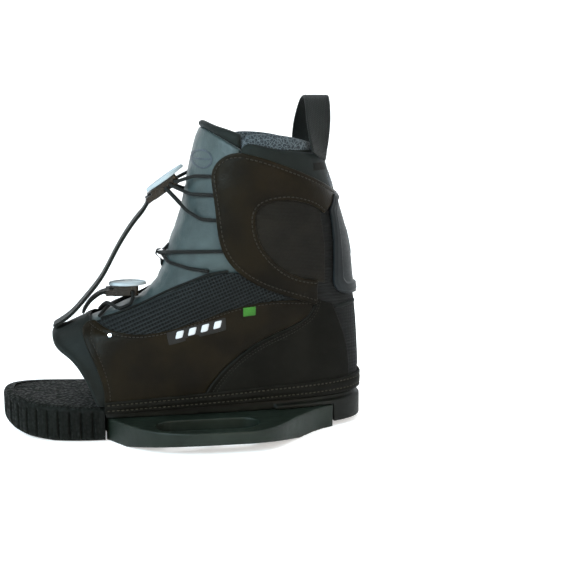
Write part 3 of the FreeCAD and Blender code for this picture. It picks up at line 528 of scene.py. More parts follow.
def tube(name, path, radius, sides, flat=1.0, up=None):
    """Round or oval tube along a smooth 3-D path. radius may vary along it. UVs are run and girth in mm."""
    p = np.asarray(path, float)
    t = tangents(p)
    r = np.broadcast_to(np.asarray(radius, float), (len(p),)).copy()
    if up is None:
        ref = np.array([0.0, 0.0, 1.0]) if abs(t[0, 2]) < 0.9 else np.array([1.0, 0.0, 0.0])
        n = np.cross(np.cross(t[0], ref), t[0])
        n /= np.linalg.norm(n)
        frames = [n]
        for i in range(1, len(p)):
            n = n - t[i] * (n @ t[i])
            n /= np.linalg.norm(n)
            frames.append(n)
        n = np.array(frames)
    else:
        n = np.asarray(up, float) - t * (np.asarray(up, float) * t).sum(1)[:, None]
        n /= np.linalg.norm(n, axis=1)[:, None]
    b = np.cross(t, n)
    run = run_along(p)
    angle = np.linspace(0, 2 * np.pi, sides, endpoint=False)
    verts = (p[:, None] + r[:, None, None] * (np.cos(angle)[None, :, None] * b[:, None]
             + flat * np.sin(angle)[None, :, None] * n[:, None])).reshape(-1, 3)
    uvs = np.stack([np.repeat(run, sides), np.tile(angle / (2 * np.pi), len(p)) * 2 * np.pi * r.mean()], -1)
    return new_mesh(name, verts, swept_faces(len(p), sides), uvs)


def nurbs(points, resolution):
    """Points along a NURBS spline with those control points."""
    curve = bpy.data.curves.new("path", "CURVE")
    curve.dimensions = "3D"
    curve.resolution_u = resolution
    line = curve.splines.new("NURBS")
    line.points.add(len(points) - 1)
    for q, p in zip(line.points, points):
        q.co = (*p, 1.0)
    line.order_u = 3
    line.use_endpoint_u = True
    holder = bpy.data.objects.new("path", curve)
    mesh = bpy.data.meshes.new_from_object(holder)
    out = np.array([v.co for v in mesh.vertices], float)
    bpy.data.objects.remove(holder)
    bpy.data.curves.remove(curve)
    bpy.data.meshes.remove(mesh)
    return out


# ------------------------------------------------------------------ materials
class Finish:
    """Principled material with small helpers for its node tree."""

    def __init__(self, name, rough=0.5, metal=0.0, specular=0.5, coat=0.0, coat_rough=0.2, sheen=0.0,
                 sheen_rough=0.4, sheen_tint=(1, 1, 1), ior=1.5):
        self.material = bpy.data.materials.new(name)
        self.material.use_nodes = True
        self.tree = self.material.node_tree
        self.shader = self.tree.nodes["Principled BSDF"]
        for key, value in (("Roughness", rough), ("Metallic", metal), ("Specular IOR Level", specular),
                           ("Coat Weight", coat), ("Coat Roughness", coat_rough), ("Sheen Weight", sheen),
                           ("Sheen Roughness", sheen_rough), ("IOR", ior), ("Sheen Tint", (*sheen_tint, 1))):
            self.shader.inputs[key].default_value = value
        self.height = None

    def node(self, kind, settings=(), **inputs):
        n = self.tree.nodes.new("ShaderNode" + kind)
        for key, value in settings:
            setattr(n, key, value)
        for key, value in inputs.items():
            self.link(n.inputs[key.replace("_", " ")], value)
        return n

    def link(self, socket, value):
        if isinstance(value, bpy.types.NodeSocket):
            self.tree.links.new(value, socket)
        else:
            socket.default_value = value

    def scaled(self, coords, scale):
        m = self.node("Mapping", Vector=coords)
        m.inputs["Scale"].default_value = scale
        return m.outputs["Vector"]

    def space(self, stretch=(1, 1, 1)):
        """Object coordinates in millimetres."""
        return self.scaled(self.node("TexCoord").outputs["Object"], [1000.0 * s for s in stretch])

    def chart(self, pitch):
        """Chart coordinates, one unit per pitch."""
        coords = self.node("UVMap", [("uv_map", UV)]).outputs["UV"]
        return self.scaled(coords, (1 / pitch[0], 1 / pitch[1], 1))

    def humps(self, value):
        """Row of rounded bars, one per unit of value."""
        return self.math("ABSOLUTE", self.math("SINE", self.math("MULTIPLY", value, math.pi)))

    def noise(self, vector, scale, detail, rough=0.5, distortion=0.0):
        return self.node("TexNoise", Vector=vector, Scale=scale, Detail=detail, Roughness=rough,
                         Distortion=distortion).outputs["Fac"]

    def cells(self, vector, scale, feature="F1"):
        return self.node("TexVoronoi", [("feature", feature)], Vector=vector, Scale=scale).outputs["Distance"]

    def math(self, operation, a, b=0.0, clamp=False):
        n = self.node("Math", [("operation", operation), ("use_clamp", clamp)])
        self.link(n.inputs[0], a)
        self.link(n.inputs[1], b)
        return n.outputs[0]

    def axis(self, vector, k):
        return self.node("SeparateXYZ", Vector=vector).outputs[k]

    def ramp(self, value, low, high, to_low=0.0, to_high=1.0):
        n = self.node("MapRange", [("interpolation_type", "SMOOTHSTEP")], Value=value)
        for key, v in (("From Min", low), ("From Max", high), ("To Min", to_low), ("To Max", to_high)):
            n.inputs[key].default_value = v
        return n.outputs["Result"]

    def mix(self, share, a, b):
        n = self.node("Mix", [("data_type", "RGBA")])
        self.link(n.inputs["Factor"], share)
        for socket, value in ((n.inputs[6], a), (n.inputs[7], b)):
            self.link(socket, value if isinstance(value, bpy.types.NodeSocket) else (*value, 1.0))
        return n.outputs[2]

    def attribute(self, name):
        return self.node("Attribute", [("attribute_name", name)]).outputs["Fac"]

    def colour(self, value):
        self.link(self.shader.inputs["Base Color"],
                  value if isinstance(value, bpy.types.NodeSocket) else (*value, 1.0))

    def roughness(self, value):
        self.link(self.shader.inputs["Roughness"], value)

    def bump(self, height, depth_mm):
        """Adds relief of depth_mm over a 0 to 1 height."""
        n = self.node("Bump", Height=height, Strength=1.0)
        n.inputs["Distance"].default_value = depth_mm * MM
        if self.height is not None:
            self.tree.links.new(self.height, n.inputs["Normal"])
        self.height = n.outputs["Normal"]
        self.tree.links.new(self.height, self.shader.inputs["Normal"])


def toned(colour, share, add=0.0):
    return tuple(share * c + add for c in colour)


def leather(name, dark, light, rough=(0.36, 0.5), grain=1.0, wear=0.35, specular=0.07):
    """Smooth grained leather: patches of tone, pores, and wear away from the panel's rim."""
    f = Finish(name, specular=specular)
    at = f.space()
    base = f.mix(f.ramp(f.noise(at, 0.022, 4.0, 0.55), 0.35, 0.68), dark, light)
    base = f.mix(f.ramp(f.noise(at, 1.3, 4.0, 0.6), 0.45, 0.8, 0.0, 0.35), base, toned(light, 1.5))
    spots = f.ramp(f.noise(at, 0.12, 4, 0.6), 0.4, 0.65)
    near_rim = f.math("MULTIPLY", f.ramp(f.attribute("rim"), 1.6, 0.2, 1.0, 0.0), spots)
    worn = f.math("SUBTRACT", spots, near_rim, True)
    f.colour(f.mix(f.math("MULTIPLY", worn, wear), base, toned(light, 2.2, 0.005)))
    f.roughness(f.ramp(f.noise(at, 0.05, 4, 0.6), 0.3, 0.7, *rough))
    f.bump(f.cells(at, 1.1 / grain), 0.10)
    f.bump(f.cells(at, 0.5 / grain), 0.06)
    f.bump(f.noise(at, 0.16, 3, 0.5), 0.35)
    return f.material


def plastic(name, dark, light, rough=(0.35, 0.5), texture=0.04, grain=1.2, specular=0.25):
    """Moulded plastic or rubber with a fine texture and long scuffs."""
    f = Finish(name, specular=specular)
    at = f.space()
    base = f.mix(f.ramp(f.noise(at, 0.03, 4, 0.55), 0.35, 0.7), dark, light)
    scuffs = f.noise(f.space((0.25, 1.0, 1.4)), 0.25, 6, 0.7, 0.6)
    f.colour(f.mix(f.ramp(scuffs, 0.62, 0.75, 0.0, 0.35), base, toned(light, 1.8, 0.008)))
    f.roughness(f.ramp(scuffs, 0.4, 0.72, *rough))
    f.bump(f.noise(at, grain, 3, 0.6), texture)
    f.bump(f.cells(at, grain * 0.9), texture * 0.8)
    return f.material


def woven(name, dark, light, pitch, depth):
    """Plain weave in the piece's own chart: warp and weft bars pass over each other in turn."""
    f = Finish(name, rough=0.75, sheen=0.05, sheen_rough=0.5, sheen_tint=(0.8, 0.85, 0.9), specular=0.3)
    at = f.chart(pitch)
    u, v = f.axis(at, 0), f.axis(at, 1)
    cell = f.math("ADD", f.math("FLOOR", u), f.math("FLOOR", v))
    over = f.math("MODULO", f.math("ABSOLUTE", cell), 2.0)
    height = f.math("ADD", f.math("MULTIPLY", f.humps(u), over),
                    f.math("MULTIPLY", f.humps(v), f.math("SUBTRACT", 1.0, over)))
    space = f.space()
    fibre = f.noise(space, 2.2, 3, 0.6)
    # painted shade and highlight: the hollows of the weave are darker and the yarn crowns lighter, by the weave's
    # height
    base = f.mix(f.ramp(height, 0.1, 0.9), toned(dark, 0.35), dark)
    base = f.mix(f.ramp(f.noise(space, 0.03, 4, 0.55), 0.35, 0.7, 0.0, 0.8), base,
                 f.mix(f.ramp(height, 0.1, 0.9), dark, light))
    f.colour(f.mix(f.ramp(fibre, 0.5, 0.8, 0.0, 0.35), base, light))
    f.bump(height, depth)
    f.bump(fibre, 0.07)
    return f.material


def knit(name, dark, light, scale, depth, rough=0.8, wrinkle=0.0):
    """Close knitted or brushed face with no visible grid."""
    f = Finish(name, rough=rough, sheen=0.03, sheen_rough=0.5, sheen_tint=(0.8, 0.85, 0.9), specular=0.12)
    at = f.space()
    fine = f.noise(at, scale, 3, 0.6)
    loops = f.cells(at, scale * 0.75)
    base = f.mix(f.ramp(f.noise(at, 0.03, 4, 0.55), 0.35, 0.7), dark, light)
    base = f.mix(f.ramp(loops, 0.1, 0.6, 0.35, 0.0), base, toned(dark, 0.35))
    f.colour(f.mix(f.ramp(fine, 0.5, 0.8, 0.0, 0.4), base, toned(light, 1.5)))
    f.bump(loops, -depth)
    f.bump(fine, depth * 0.6)
    if wrinkle:
        f.bump(f.noise(f.space((1, 1, 2.2)), 0.09, 3, 0.5, 0.8), wrinkle)
    return f.material


def lining():
    """Soft lining cloth with a light crackle print on grey blue."""
    f = Finish("lining_crackle", rough=0.75, sheen=0.03, sheen_rough=0.5, specular=0.12)
    at = f.space()
    swirl = f.node("TexNoise", Vector=at, Scale=0.16, Detail=3.0).outputs["Color"]
    bent = f.node("VectorMath", [("operation", "MULTIPLY_ADD")])
    for socket, value in zip(bent.inputs, (swirl, swirl, at)):
        f.link(socket, value)
    line = f.cells(bent.outputs[0], 0.36, "DISTANCE_TO_EDGE")
    hair = f.cells(bent.outputs[0], 0.8, "DISTANCE_TO_EDGE")
    print_ = f.math("MAXIMUM", f.ramp(line, 0.10, 0.03), f.ramp(hair, 0.07, 0.02, 0.0, 0.7))
    fine = f.noise(at, 1.8, 3, 0.6)
    base = f.mix(print_, (0.0100, 0.0130, 0.0155), (0.0750, 0.0925, 0.1025))
    base = f.mix(f.ramp(fine, 0.45, 0.8, 0.0, 0.3), base, (0.0225, 0.0275, 0.0315))
    f.colour(base)
    f.bump(f.cells(at, 1.5), -0.12)
    f.bump(f.noise(at, 0.12, 3, 0.5), 0.5)
    return f.material


def pebbled():
    """Closed-cell foam with a pebbled face. Its raised bead crowns and small cells are painted lighter on upward faces,
    a painted highlight from above.
    """
    f = Finish("foam_pebbled", rough=0.72, specular=0.10)
    at = f.space()
    bead = f.cells(at, 0.42, "SMOOTH_F1")
    small = f.cells(at, 0.95)
    patch = f.noise(at, 0.03, 4, 0.6)
    top = f.axis(f.node("NewGeometry").outputs["Normal"], 2)
    base = f.mix(f.ramp(patch, 0.35, 0.7), (0.0012, 0.0018, 0.0012), (0.0024, 0.0034, 0.0024))
    up = f.ramp(top, 0.3, 0.75)
    # painted highlight: the bead crowns and small raised cells are made lighter only where the face points up
    base = f.mix(f.math("MULTIPLY", f.ramp(bead, 0.55, 0.15, 0.0, 0.6), up), base, (0.007, 0.010, 0.008))
    base = f.mix(f.math("MULTIPLY", f.ramp(small, 0.6, 0.2, 0.0, 0.25), up), base, (0.009, 0.012, 0.010))
    f.colour(base)
    f.roughness(f.ramp(bead, 0.2, 0.6, 0.55, 0.85))
    height = f.math("MULTIPLY", f.ramp(bead, 0.75, 0.1), f.ramp(top, 0.3, 0.75, 0.03, 1.0))
    f.bump(height, 0.9)
    f.bump(f.math("MULTIPLY", f.ramp(small, 0.7, 0.1), up), 0.25)
    return f.material


def metal(name, tone, rough=(0.2, 0.35)):
    f = Finish(name, metal=1.0)
    at = f.space()
    marks = f.noise(f.space((1, 1, 0.15)), 1.2, 4, 0.65)
    f.colour(f.mix(f.ramp(marks, 0.3, 0.7), toned(tone, 0.75), tone))
    f.roughness(f.ramp(f.noise(at, 0.4, 4, 0.6), 0.3, 0.7, *rough))
    f.bump(marks, 0.02)
    return f.material


def braid(name, dark, light):
    """Round braid: two families of yarns that cross, in a tube's run and girth."""
    f = Finish(name, rough=0.62, sheen=0.03, sheen_rough=0.4, specular=0.15)
    at = f.chart((2.4, 9.42 / 4))
    u, v = f.axis(at, 0), f.axis(at, 1)
    height = f.math("MULTIPLY", f.humps(f.math("ADD", u, v)), f.humps(f.math("SUBTRACT", u, v)))
    fibre = f.noise(f.space(), 3.0, 3, 0.6)
    # painted shade and highlight: the hollows between yarns are darker and the yarn crowns lighter
    base = f.mix(f.ramp(height, 0.05, 0.7), toned(dark, 0.3), light)
    base = f.mix(f.ramp(fibre, 0.45, 0.8, 0.0, 0.5), base, dark)
    f.colour(base)
    f.bump(height, 0.35)
    f.bump(fibre, 0.08)
    return f.material


def webbing(name, dark, light):
    """Flat webbing: ribs along its length, broken by rows of yarn in turn."""
    f = Finish(name, rough=0.6, sheen=0.03, sheen_rough=0.35, specular=0.16, sheen_tint=(0.85, 0.9, 0.95))
    at = f.chart((2.2, 1.5))
    u, v = f.axis(at, 0), f.axis(at, 1)
    shift = f.math("MULTIPLY", f.math("MODULO", f.math("ABSOLUTE", f.math("FLOOR", v)), 2.0), 0.5)
    along = f.humps(f.math("ADD", u, shift))
    height = f.math("MULTIPLY", f.math("POWER", f.humps(v), 0.6), f.math("POWER", along, 0.5))
    fibre = f.noise(f.space(), 2.6, 3, 0.6)
    patch = f.noise(f.space(), 0.04, 4, 0.5)
    # painted shade and highlight: the hollows between ribs are darker and, in patches, the rib crowns lighter
    base = f.mix(f.ramp(height, 0.1, 0.9), toned(dark, 0.3), dark)
    base = f.mix(f.math("MULTIPLY", f.ramp(height, 0.3, 1.0), f.ramp(patch, 0.3, 0.7, 0.4, 1.0)), base, light)
    base = f.mix(f.ramp(fibre, 0.5, 0.8, 0.0, 0.4), base, light)
    f.colour(base)
    f.bump(height, 0.28)
    f.bump(fibre, 0.08)
    return f.material


def thread(name, dark, light):
    f = Finish(name, rough=0.6, specular=0.15)
    twist = f.node("TexWave", [("wave_type", "BANDS"), ("bands_direction", "DIAGONAL")],
                   Vector=f.space(), Scale=1.1, Distortion=1.0, Detail=1.0).outputs["Fac"]
    f.colour(f.mix(f.ramp(twist, 0.2, 0.8), dark, light))
    f.bump(twist, 0.08)
    return f.material


LEATHER = leather("leather_black", (0.0022, 0.0015, 0.0004), (0.0066, 0.0045, 0.0014))
LEATHER_HEEL = leather("leather_heel", (0.0026, 0.0026, 0.0018), (0.0048, 0.0046, 0.0034), rough=(0.5, 0.65),
                       grain=0.8, specular=0.05)
# lighter grey leather: on the back yoke this grey is a painted reflection of the bright surroundings on black leather;
# on the tongue badge it is the badge's own grey
LEATHER_GREY_AND_PAINTED_SHEEN = leather("leather_grey", (0.016, 0.021, 0.027), (0.030, 0.039, 0.048), rough=(0.4, 0.55), specular=0.18)
TONGUE_CLOTH = leather("tongue_satin", (0.018, 0.028, 0.029), (0.036, 0.053, 0.054), rough=(0.34, 0.48),
                       grain=1.4, wear=0.1, specular=0.24)
RIBBED = knit("textile_ribbed", (0.0035, 0.0037, 0.0035), (0.0070, 0.0074, 0.0072), scale=2.0, depth=0.08)
INSERT = knit("textile_insert", (0.0040, 0.0034, 0.0022), (0.0085, 0.0072, 0.0048), scale=2.2, depth=0.08)


def open_grid():
    """Open grid cloth: pale raised threads round near-black cells. The near black of the cells is painted shade in the
    mesh's open holes.
    """
    f = Finish("textile_grid", rough=0.75, specular=0.1)
    at = f.space()
    thread_share = f.ramp(f.attribute("thread"), 0.25, 0.75)
    fine = f.noise(at, 2.4, 3, 0.6)
    pale = f.mix(f.ramp(fine, 0.35, 0.7), (0.008, 0.0095, 0.0095), (0.020, 0.024, 0.025))
    # painted shade: the cells between the threads are near black for the shade inside the open holes
    f.colour(f.mix(thread_share, (0.0016, 0.0019, 0.0018), pale))
    f.bump(fine, 0.06)
    return f.material


GRID = open_grid()
NEOPRENE = knit("neoprene_smooth", (0.0028, 0.0042, 0.0034), (0.0055, 0.0078, 0.0066), scale=2.6, depth=0.05,
                rough=0.62, wrinkle=0.25)
COLLAR = knit("collar_smooth", (0.0032, 0.0050, 0.0042), (0.0062, 0.0092, 0.0078), scale=2.4, depth=0.06,
              rough=0.66, wrinkle=0.3)
LINING = lining()
BINDING = knit("binding_tape", (0.0030, 0.0036, 0.0032), (0.0060, 0.0072, 0.0064), scale=2.0, depth=0.08)
FOOTBED = knit("footbed_cloth", (0.012, 0.013, 0.015), (0.024, 0.026, 0.029), scale=1.6, depth=0.12)
SOLE = plastic("sole_rubber", (0.0024, 0.0028, 0.0018), (0.0046, 0.0052, 0.0034), rough=(0.5, 0.65), texture=0.06,
               specular=0.14)
CHASSIS = plastic("chassis_nylon", (0.0050, 0.0082, 0.0056), (0.0100, 0.0150, 0.0110), rough=(0.42, 0.56),
                  texture=0.05, specular=0.18)
BOARD = plastic("board_plastic", (0.03, 0.03, 0.031), (0.05, 0.05, 0.052), rough=(0.5, 0.65))
STIFFENER = plastic("stiffener_plastic", (0.05, 0.05, 0.05), (0.08, 0.08, 0.08), rough=(0.5, 0.6))
SHIELD = plastic("shield_plastic", (0.0040, 0.0052, 0.0058), (0.0085, 0.0108, 0.0122), rough=(0.42, 0.54),
                 texture=0.025, grain=2.0, specular=0.12)
EMBLEM = plastic("emblem_plastic", (0.048, 0.074, 0.082), (0.075, 0.110, 0.122), rough=(0.3, 0.42), texture=0.02)
CAP = plastic("cap_plastic", (0.24, 0.285, 0.305), (0.34, 0.39, 0.42), rough=(0.32, 0.45), texture=0.03)
AMBER = plastic("lock_amber", (0.0040, 0.0027, 0.0012), (0.0120, 0.0080, 0.0036), rough=(0.22, 0.34), texture=0.03)
SLIDER = plastic("slider_plastic", (0.006, 0.006, 0.006), (0.012, 0.012, 0.012), rough=(0.4, 0.55))
FOAM_TOP = pebbled()
STEEL = metal("steel", (0.50, 0.50, 0.51))
CHROME = metal("chrome", (0.82, 0.82, 0.84), (0.08, 0.16))
LACE = braid("lace_braid", (0.0035, 0.0040, 0.0038), (0.0105, 0.0120, 0.0112))
WEB = webbing("webbing_black", (0.0036, 0.0044, 0.0036), (0.0100, 0.0118, 0.0100))
THREAD = thread("thread_seam", (0.0120, 0.0105, 0.0080), (0.0300, 0.0270, 0.0215))
THREAD_WELT = thread("thread_welt", (0.0160, 0.0145, 0.0090), (0.0400, 0.0360, 0.0240))
BADGE = plastic("badge_rubber", (0.44, 0.46, 0.48), (0.56, 0.58, 0.60), rough=(0.45, 0.6))
BADGE_FIELD = plastic("badge_field", (0.0030, 0.0028, 0.0022), (0.0052, 0.0050, 0.0040), rough=(0.5, 0.65))
TAG = woven("tag_cloth", (0.02, 0.12, 0.008), (0.05, 0.22, 0.02), (0.7, 0.7), 0.1)
THREAD_WEB = thread("thread_webbing", (0.0055, 0.0060, 0.0056), (0.0140, 0.0155, 0.0145))


# ------------------------------------------------------------------ upper: outlines, (x, z) seen from the side
FOOT = 28.4
TOE_EDGE = [(-83, FOOT), (-83, 41), (-88, 61), (-95, 77), (-99, 87), (-100, 93)]
VAMP_TIP = [(-100, 93), (-96, 97), (-89, 99)]
MESH_LOW = [(-89, 99), (-80, 94.5), (-66, 91), (-47, 90), (-12, 97), (27, 109), (60, 114), (94, 112)]
COUNTER_SEAM = [(94, 112), (93, 106), (88, 99), (57, 85), (27, 68), (7, 49), (-1, 36), (-3, FOOT)]
LACE_EDGE = [(-90, 98.5), (-81, 101.5), (-70, 105), (-50, 113), (-30, 122), (-11, 130), (4, 136), (23, 139.5)]
CUFF_FOOT = 29.8
CUFF_FRONT = [(-127, 92), (-126.5, 86), (-124, 80), (-116, 73.5), (-109, 68), (-102, 59), (-95, 45), (-89, CUFF_FOOT)]
PANEL_FRONT = [(94, 109), (73, 117), (46, 128), (23, 146), (14, 164), (11, 190), (9.5, 205), (9, 220),
               (12, 228), (18, 234), (25, 237), (33, 237.5)]
PANEL_TOP = [(33, 237.5), (47, 234), (62, 229), (89, 218), (107, 208.5), (118, 202)]
SEAM_DEPTH, SEAM_WIDTH = 0.5, 0.8
WINDOW = [(101, 187), (92, 193.5), (83, 197), (72, 199.4), (63, 199.5), (54, 198), (46, 194), (42.5, 188),
          (42, 182), (44, 170), (50, 158), (61, 146), (71, 138.5), (84, 133), (97, 130.5)]


def shifted(points, dx, dz):
    return [(x + dx, z + dz) for x, z in points]


def around(half):
    """Full chart path from a half path that starts on the middle line."""
    return np.concatenate([(half * (-1, 1))[::-1], half[1:]])


def chain(parts):
    return np.concatenate([part if k == 0 else part[1:] for k, part in enumerate(parts)])


def side_path(chart, runs, step):
    return chain([even(chart.from_side(spline(run, step=0.5)), step=step) for run in runs])


def back_path(chart, runs, step):
    return chain([even(chart.from_back(spline(run, step=0.5)), step=step) for run in runs])


def side_outline(chart, runs, step=None):
    return closed(side_path(chart, runs, step or SIDE_STEP))


def seam_row(chart, run, gap, outline):
    """Sewing line along an edge, on the side that lies inside the outline."""
    path = side_path(chart, [run], 0.8)
    rows = [inset(path, sign * gap) for sign in (1, -1)]
    share = [inside(row, outline).mean() if len(row) else 0.0 for row in rows]
    row = rows[int(np.argmax(share))]
    return row[inside(row, outline)]


def softened_loop(path, passes):
    """Rounds the corners of a closed dense path."""
    for _ in range(passes):
        path = 0.25 * np.roll(path, 1, 0) + 0.5 * path + 0.25 * np.roll(path, -1, 0)
    return path


def groove(base3, line3, depth, width):
    d = distance(base3, line3)
    return -depth * np.exp(-(d / width) ** 2)


def make_panel(name, chart, outline, span, material, pair=False, step=(2.2, 2.2), edge=0.9, rings=(0.3, 0.8),
               lines=(), seams=(), relief=None, stitch=THREAD, stitch_size=(2.3, 0.9, 0.3), node=None):
    """A panel, or a left and right pair of them, with its sewn rows.
    seams are chart paths that are sewn: each gets a groove and a row of stitches."""
    node = node or name
    verts, tris = fill(outline, step, rings, list(lines) + [(row, (-0.7, 0.0, 0.7)) for row in seams])
    made = []
    for mirror in (False, True) if pair else (False,):
        flip = np.array((-1, 1)) if mirror else np.array((1, 1))
        suffix = ("_right" if mirror else "_left") if pair else ""
        seams3 = [chart.place(row * flip)[0] for row in seams]

        def height(uv, base, to_rim):
            h = relief(uv * flip, base, to_rim) if relief else np.zeros(len(uv))
            for row in seams3:
                h = h + groove(base, row, SEAM_DEPTH, SEAM_WIDTH)
            return h

        obj = shell(f"{name}{suffix}_skin", chart, verts, tris, counterclockwise(outline), span, edge, height, mirror)
        finish_piece(obj, material, nodes=[node if node in NODES else node + suffix])
        if seams:
            rows = [chart.place(row * flip, span[1] - 0.12) for row in seams]
            stitch_rows(f"{name}{suffix}_stitching", rows, stitch, "binding_fabric", "boot", *stitch_size)
        made.append(obj)
    return made


SIDE_STEP = 1.3

# vamp: smooth leather from the toe edge to the counter seam
chart = Chart(300.0)
vamp_outline = side_outline(chart, [TOE_EDGE, VAMP_TIP, MESH_LOW, COUNTER_SEAM, [(-3, FOOT), (-83, FOOT)]])
toe_row = seam_row(chart, TOE_EDGE, 3.6, vamp_outline)
mesh_row = seam_row(chart, MESH_LOW, 2.2, vamp_outline)


def leather_relief(size, amount, seed):
    def relief(uv, base, to_rim):
        soft = np.clip(to_rim / 10.0, 0, 1)
        return amount * (wander(base, size, seed) + 0.5 * wander(base, size * 0.4, seed + 7)) * soft + 0.35 * soft
    return relief


def vamp_relief(uv, base, to_rim):
    """Gentle swell with soft creases where the toes bend."""
    h = leather_relief(34.0, 0.35, 3.0)(uv, base, to_rim)
    x, z = base[:, 0], base[:, 2]
    for x0, z0, lean, depth, width in ((-62, 60, 0.55, 0.35, 3.2), (-48, 66, 0.5, 0.28, 2.6), (-30, 52, 0.7, 0.3, 4.0),
                                       (10, 84, 0.15, 0.25, 3.0)):
        across = (x - x0) + (z - z0) * lean
        reach = np.exp(-((z - z0) / 20.0) ** 2)
        h -= depth * np.exp(-(across / width) ** 2) * reach
    return h


make_panel("vamp", chart, vamp_outline, (-1.1, 0.1), LEATHER, True,
           step=(2.6, 2.2), seams=[toe_row, mesh_row], relief=vamp_relief, stitch_size=(2.0, 1.2, 0.38))

# heel counter: smooth dark cover with a raised seam
seam = shifted(COUNTER_SEAM, 0.5, 0)
back_line = [(128, FOOT), (128, 60), (122, 85), (112, 108)]
counter_outline = side_outline(chart, [seam[::-1], *straight([seam[0], (98, 113), back_line[-1]]),
                                       back_line[::-1], [back_line[0], seam[-1]]])
counter_rows = [seam_row(chart, seam, gap, counter_outline) for gap in (4.6, 7.2)]


def counter_relief(uv, base, to_rim):
    """Soft swell and a raised ridge beside the seam, measured on the lateral side for both."""
    base = base.copy()
    base[:, 1] = -np.abs(base[:, 1])
    line = chart.place(side_path(chart, [seam], 1.5))[0]
    ridge = 0.9 * np.exp(-((distance(base, line) - 1.6) / 1.1) ** 2)
    return leather_relief(40.0, 0.3, 11.0)(uv, base, to_rim) + ridge


make_panel("heel_counter", chart, counter_outline, (-1.1, 0.0), LEATHER_HEEL, True,
           step=(2.4, 2.4), seams=counter_rows, rings=(0.3, 0.8, 1.6, 2.6),
           relief=counter_relief, stitch_size=(1.6, 1.1, 0.25))

# mesh panel: open grid of square cells
mesh_under = shifted(MESH_LOW[1:-1], 0, -6)
mesh_rear = straight([LACE_EDGE[-1], (66, 134), (73, 131), (73, 108.6), mesh_under[-1]])
mesh_outline = side_outline(chart, [LACE_EDGE, *mesh_rear, mesh_under[::-1], [mesh_under[0], LACE_EDGE[0]]])
GRID_PITCH = 2.9


def grid_relief(uv, base, to_rim):
    """Cells follow the lacing edge, which climbs towards the ankle."""
    x, z = base[:, 0], base[:, 2]
    slope = 0.42
    row = (z - slope * x) / math.hypot(1, slope)
    column = (x + slope * z) / math.hypot(1, slope)
    a = np.abs(np.sin(np.pi * row / GRID_PITCH))
    b = np.abs(np.sin(np.pi * column / (GRID_PITCH * 0.9)))
    return 1.15 * np.maximum(1 - a, 1 - b) ** 1.1 - 0.6


for cloth in make_panel("mesh_panel", chart, mesh_outline, (-2.6, -1.1), GRID, True,
                        step=(0.62, 0.56), relief=grid_relief):
    at = np.empty(len(cloth.data.vertices) * 3)
    cloth.data.vertices.foreach_get("co", at)
    float_attribute(cloth, "thread", (grid_relief(None, at.reshape(-1, 3) / MM, None) + 0.6) / 1.15)


def outline_of(points, step):
    """Outline with straight edges between corners."""
    return side_outline(chart, straight(points + points[:1]), step)


# ankle insert: slanted rows
insert_points = [(38, 204), (38, 150), (66, 134.4), (104, 127), (103, 160), (98.5, 186), (98.5, 204)]
insert_outline = outline_of(insert_points, SIDE_STEP)


def insert_relief(uv, base, to_rim):
    x, z = base[:, 0], base[:, 2]
    row = z + 0.12 * x + 1.1 * np.sin(x / 7.0) * 0.35
    a = np.abs(np.sin(np.pi * row / 3.1))
    step = np.floor(row / 3.1)
    b = np.abs(np.sin(np.pi * (x / 4.2 + 0.5 * (step % 2))))
    return 0.55 * a ** 0.7 * (0.55 + 0.45 * b ** 0.6) - 0.3


make_panel("ankle_insert", chart, insert_outline, (-1.1, 0.25), INSERT, True,
           step=(1.0, 0.75), relief=insert_relief)

# ankle panel: overlaid leather, a bow open towards the heel
chart_high = Chart(215.0)
panel_outline = side_outline(chart_high, [PANEL_FRONT, PANEL_TOP, [PANEL_TOP[-1], WINDOW[0]], WINDOW,
                                          *straight([WINDOW[-1], (97, 110), PANEL_FRONT[0]])])
front_row = seam_row(chart_high, PANEL_FRONT, 3.6, panel_outline)
top_row = seam_row(chart_high, PANEL_TOP, 3.6, panel_outline)[4:-3]
window_row = seam_row(chart_high, WINDOW, 2.6, panel_outline)
make_panel("ankle_panel", chart_high, panel_outline, (0.1, 1.9), LEATHER, True, edge=1.1,
           rings=(0.25, 0.6, 1.1), seams=[front_row, top_row, window_row], relief=leather_relief(30.0, 0.4, 23.0),
           stitch_size=(2.5, 1.2, 0.46))

# ribbed textile round the heel
textile_half = side_path(chart_high, straight([
    (150, FOOT), (122, FOOT), (121, 60), (112, 84), (100, 104), (67, 112), (68, 133), (98, 134), (98, 190),
    (101.5, 202.3), (150, 202.3)]), SIDE_STEP)
RIB_PITCH = 2.8


def rib_relief(uv, base, to_rim):
    """Horizontal ribs that break into a grid towards the heel's middle line."""
    y, z = base[:, 1], base[:, 2]
    lift = 1.2 * (y / 40.0) ** 2
    rib = np.abs(np.sin(np.pi * (z - lift) / RIB_PITCH)) ** 0.8
    low = np.clip((112 - z) / 4.0, 0, 1) * np.clip((30 - np.abs(y)) / 8.0, 0, 1)
    column = np.abs(np.sin(np.pi * uv[:, 0] / RIB_PITCH)) ** 0.8
    both = rib * (1 - low) + np.minimum(rib, column) * low
    return 0.85 * both - 0.35 + 0.3 * wander(base, 30.0, 5.0)


make_panel("heel_textile", chart_high, both_sides(textile_half), (-2.6, -1.0), RIBBED,
           step=(1.05, 0.72), relief=rib_relief)

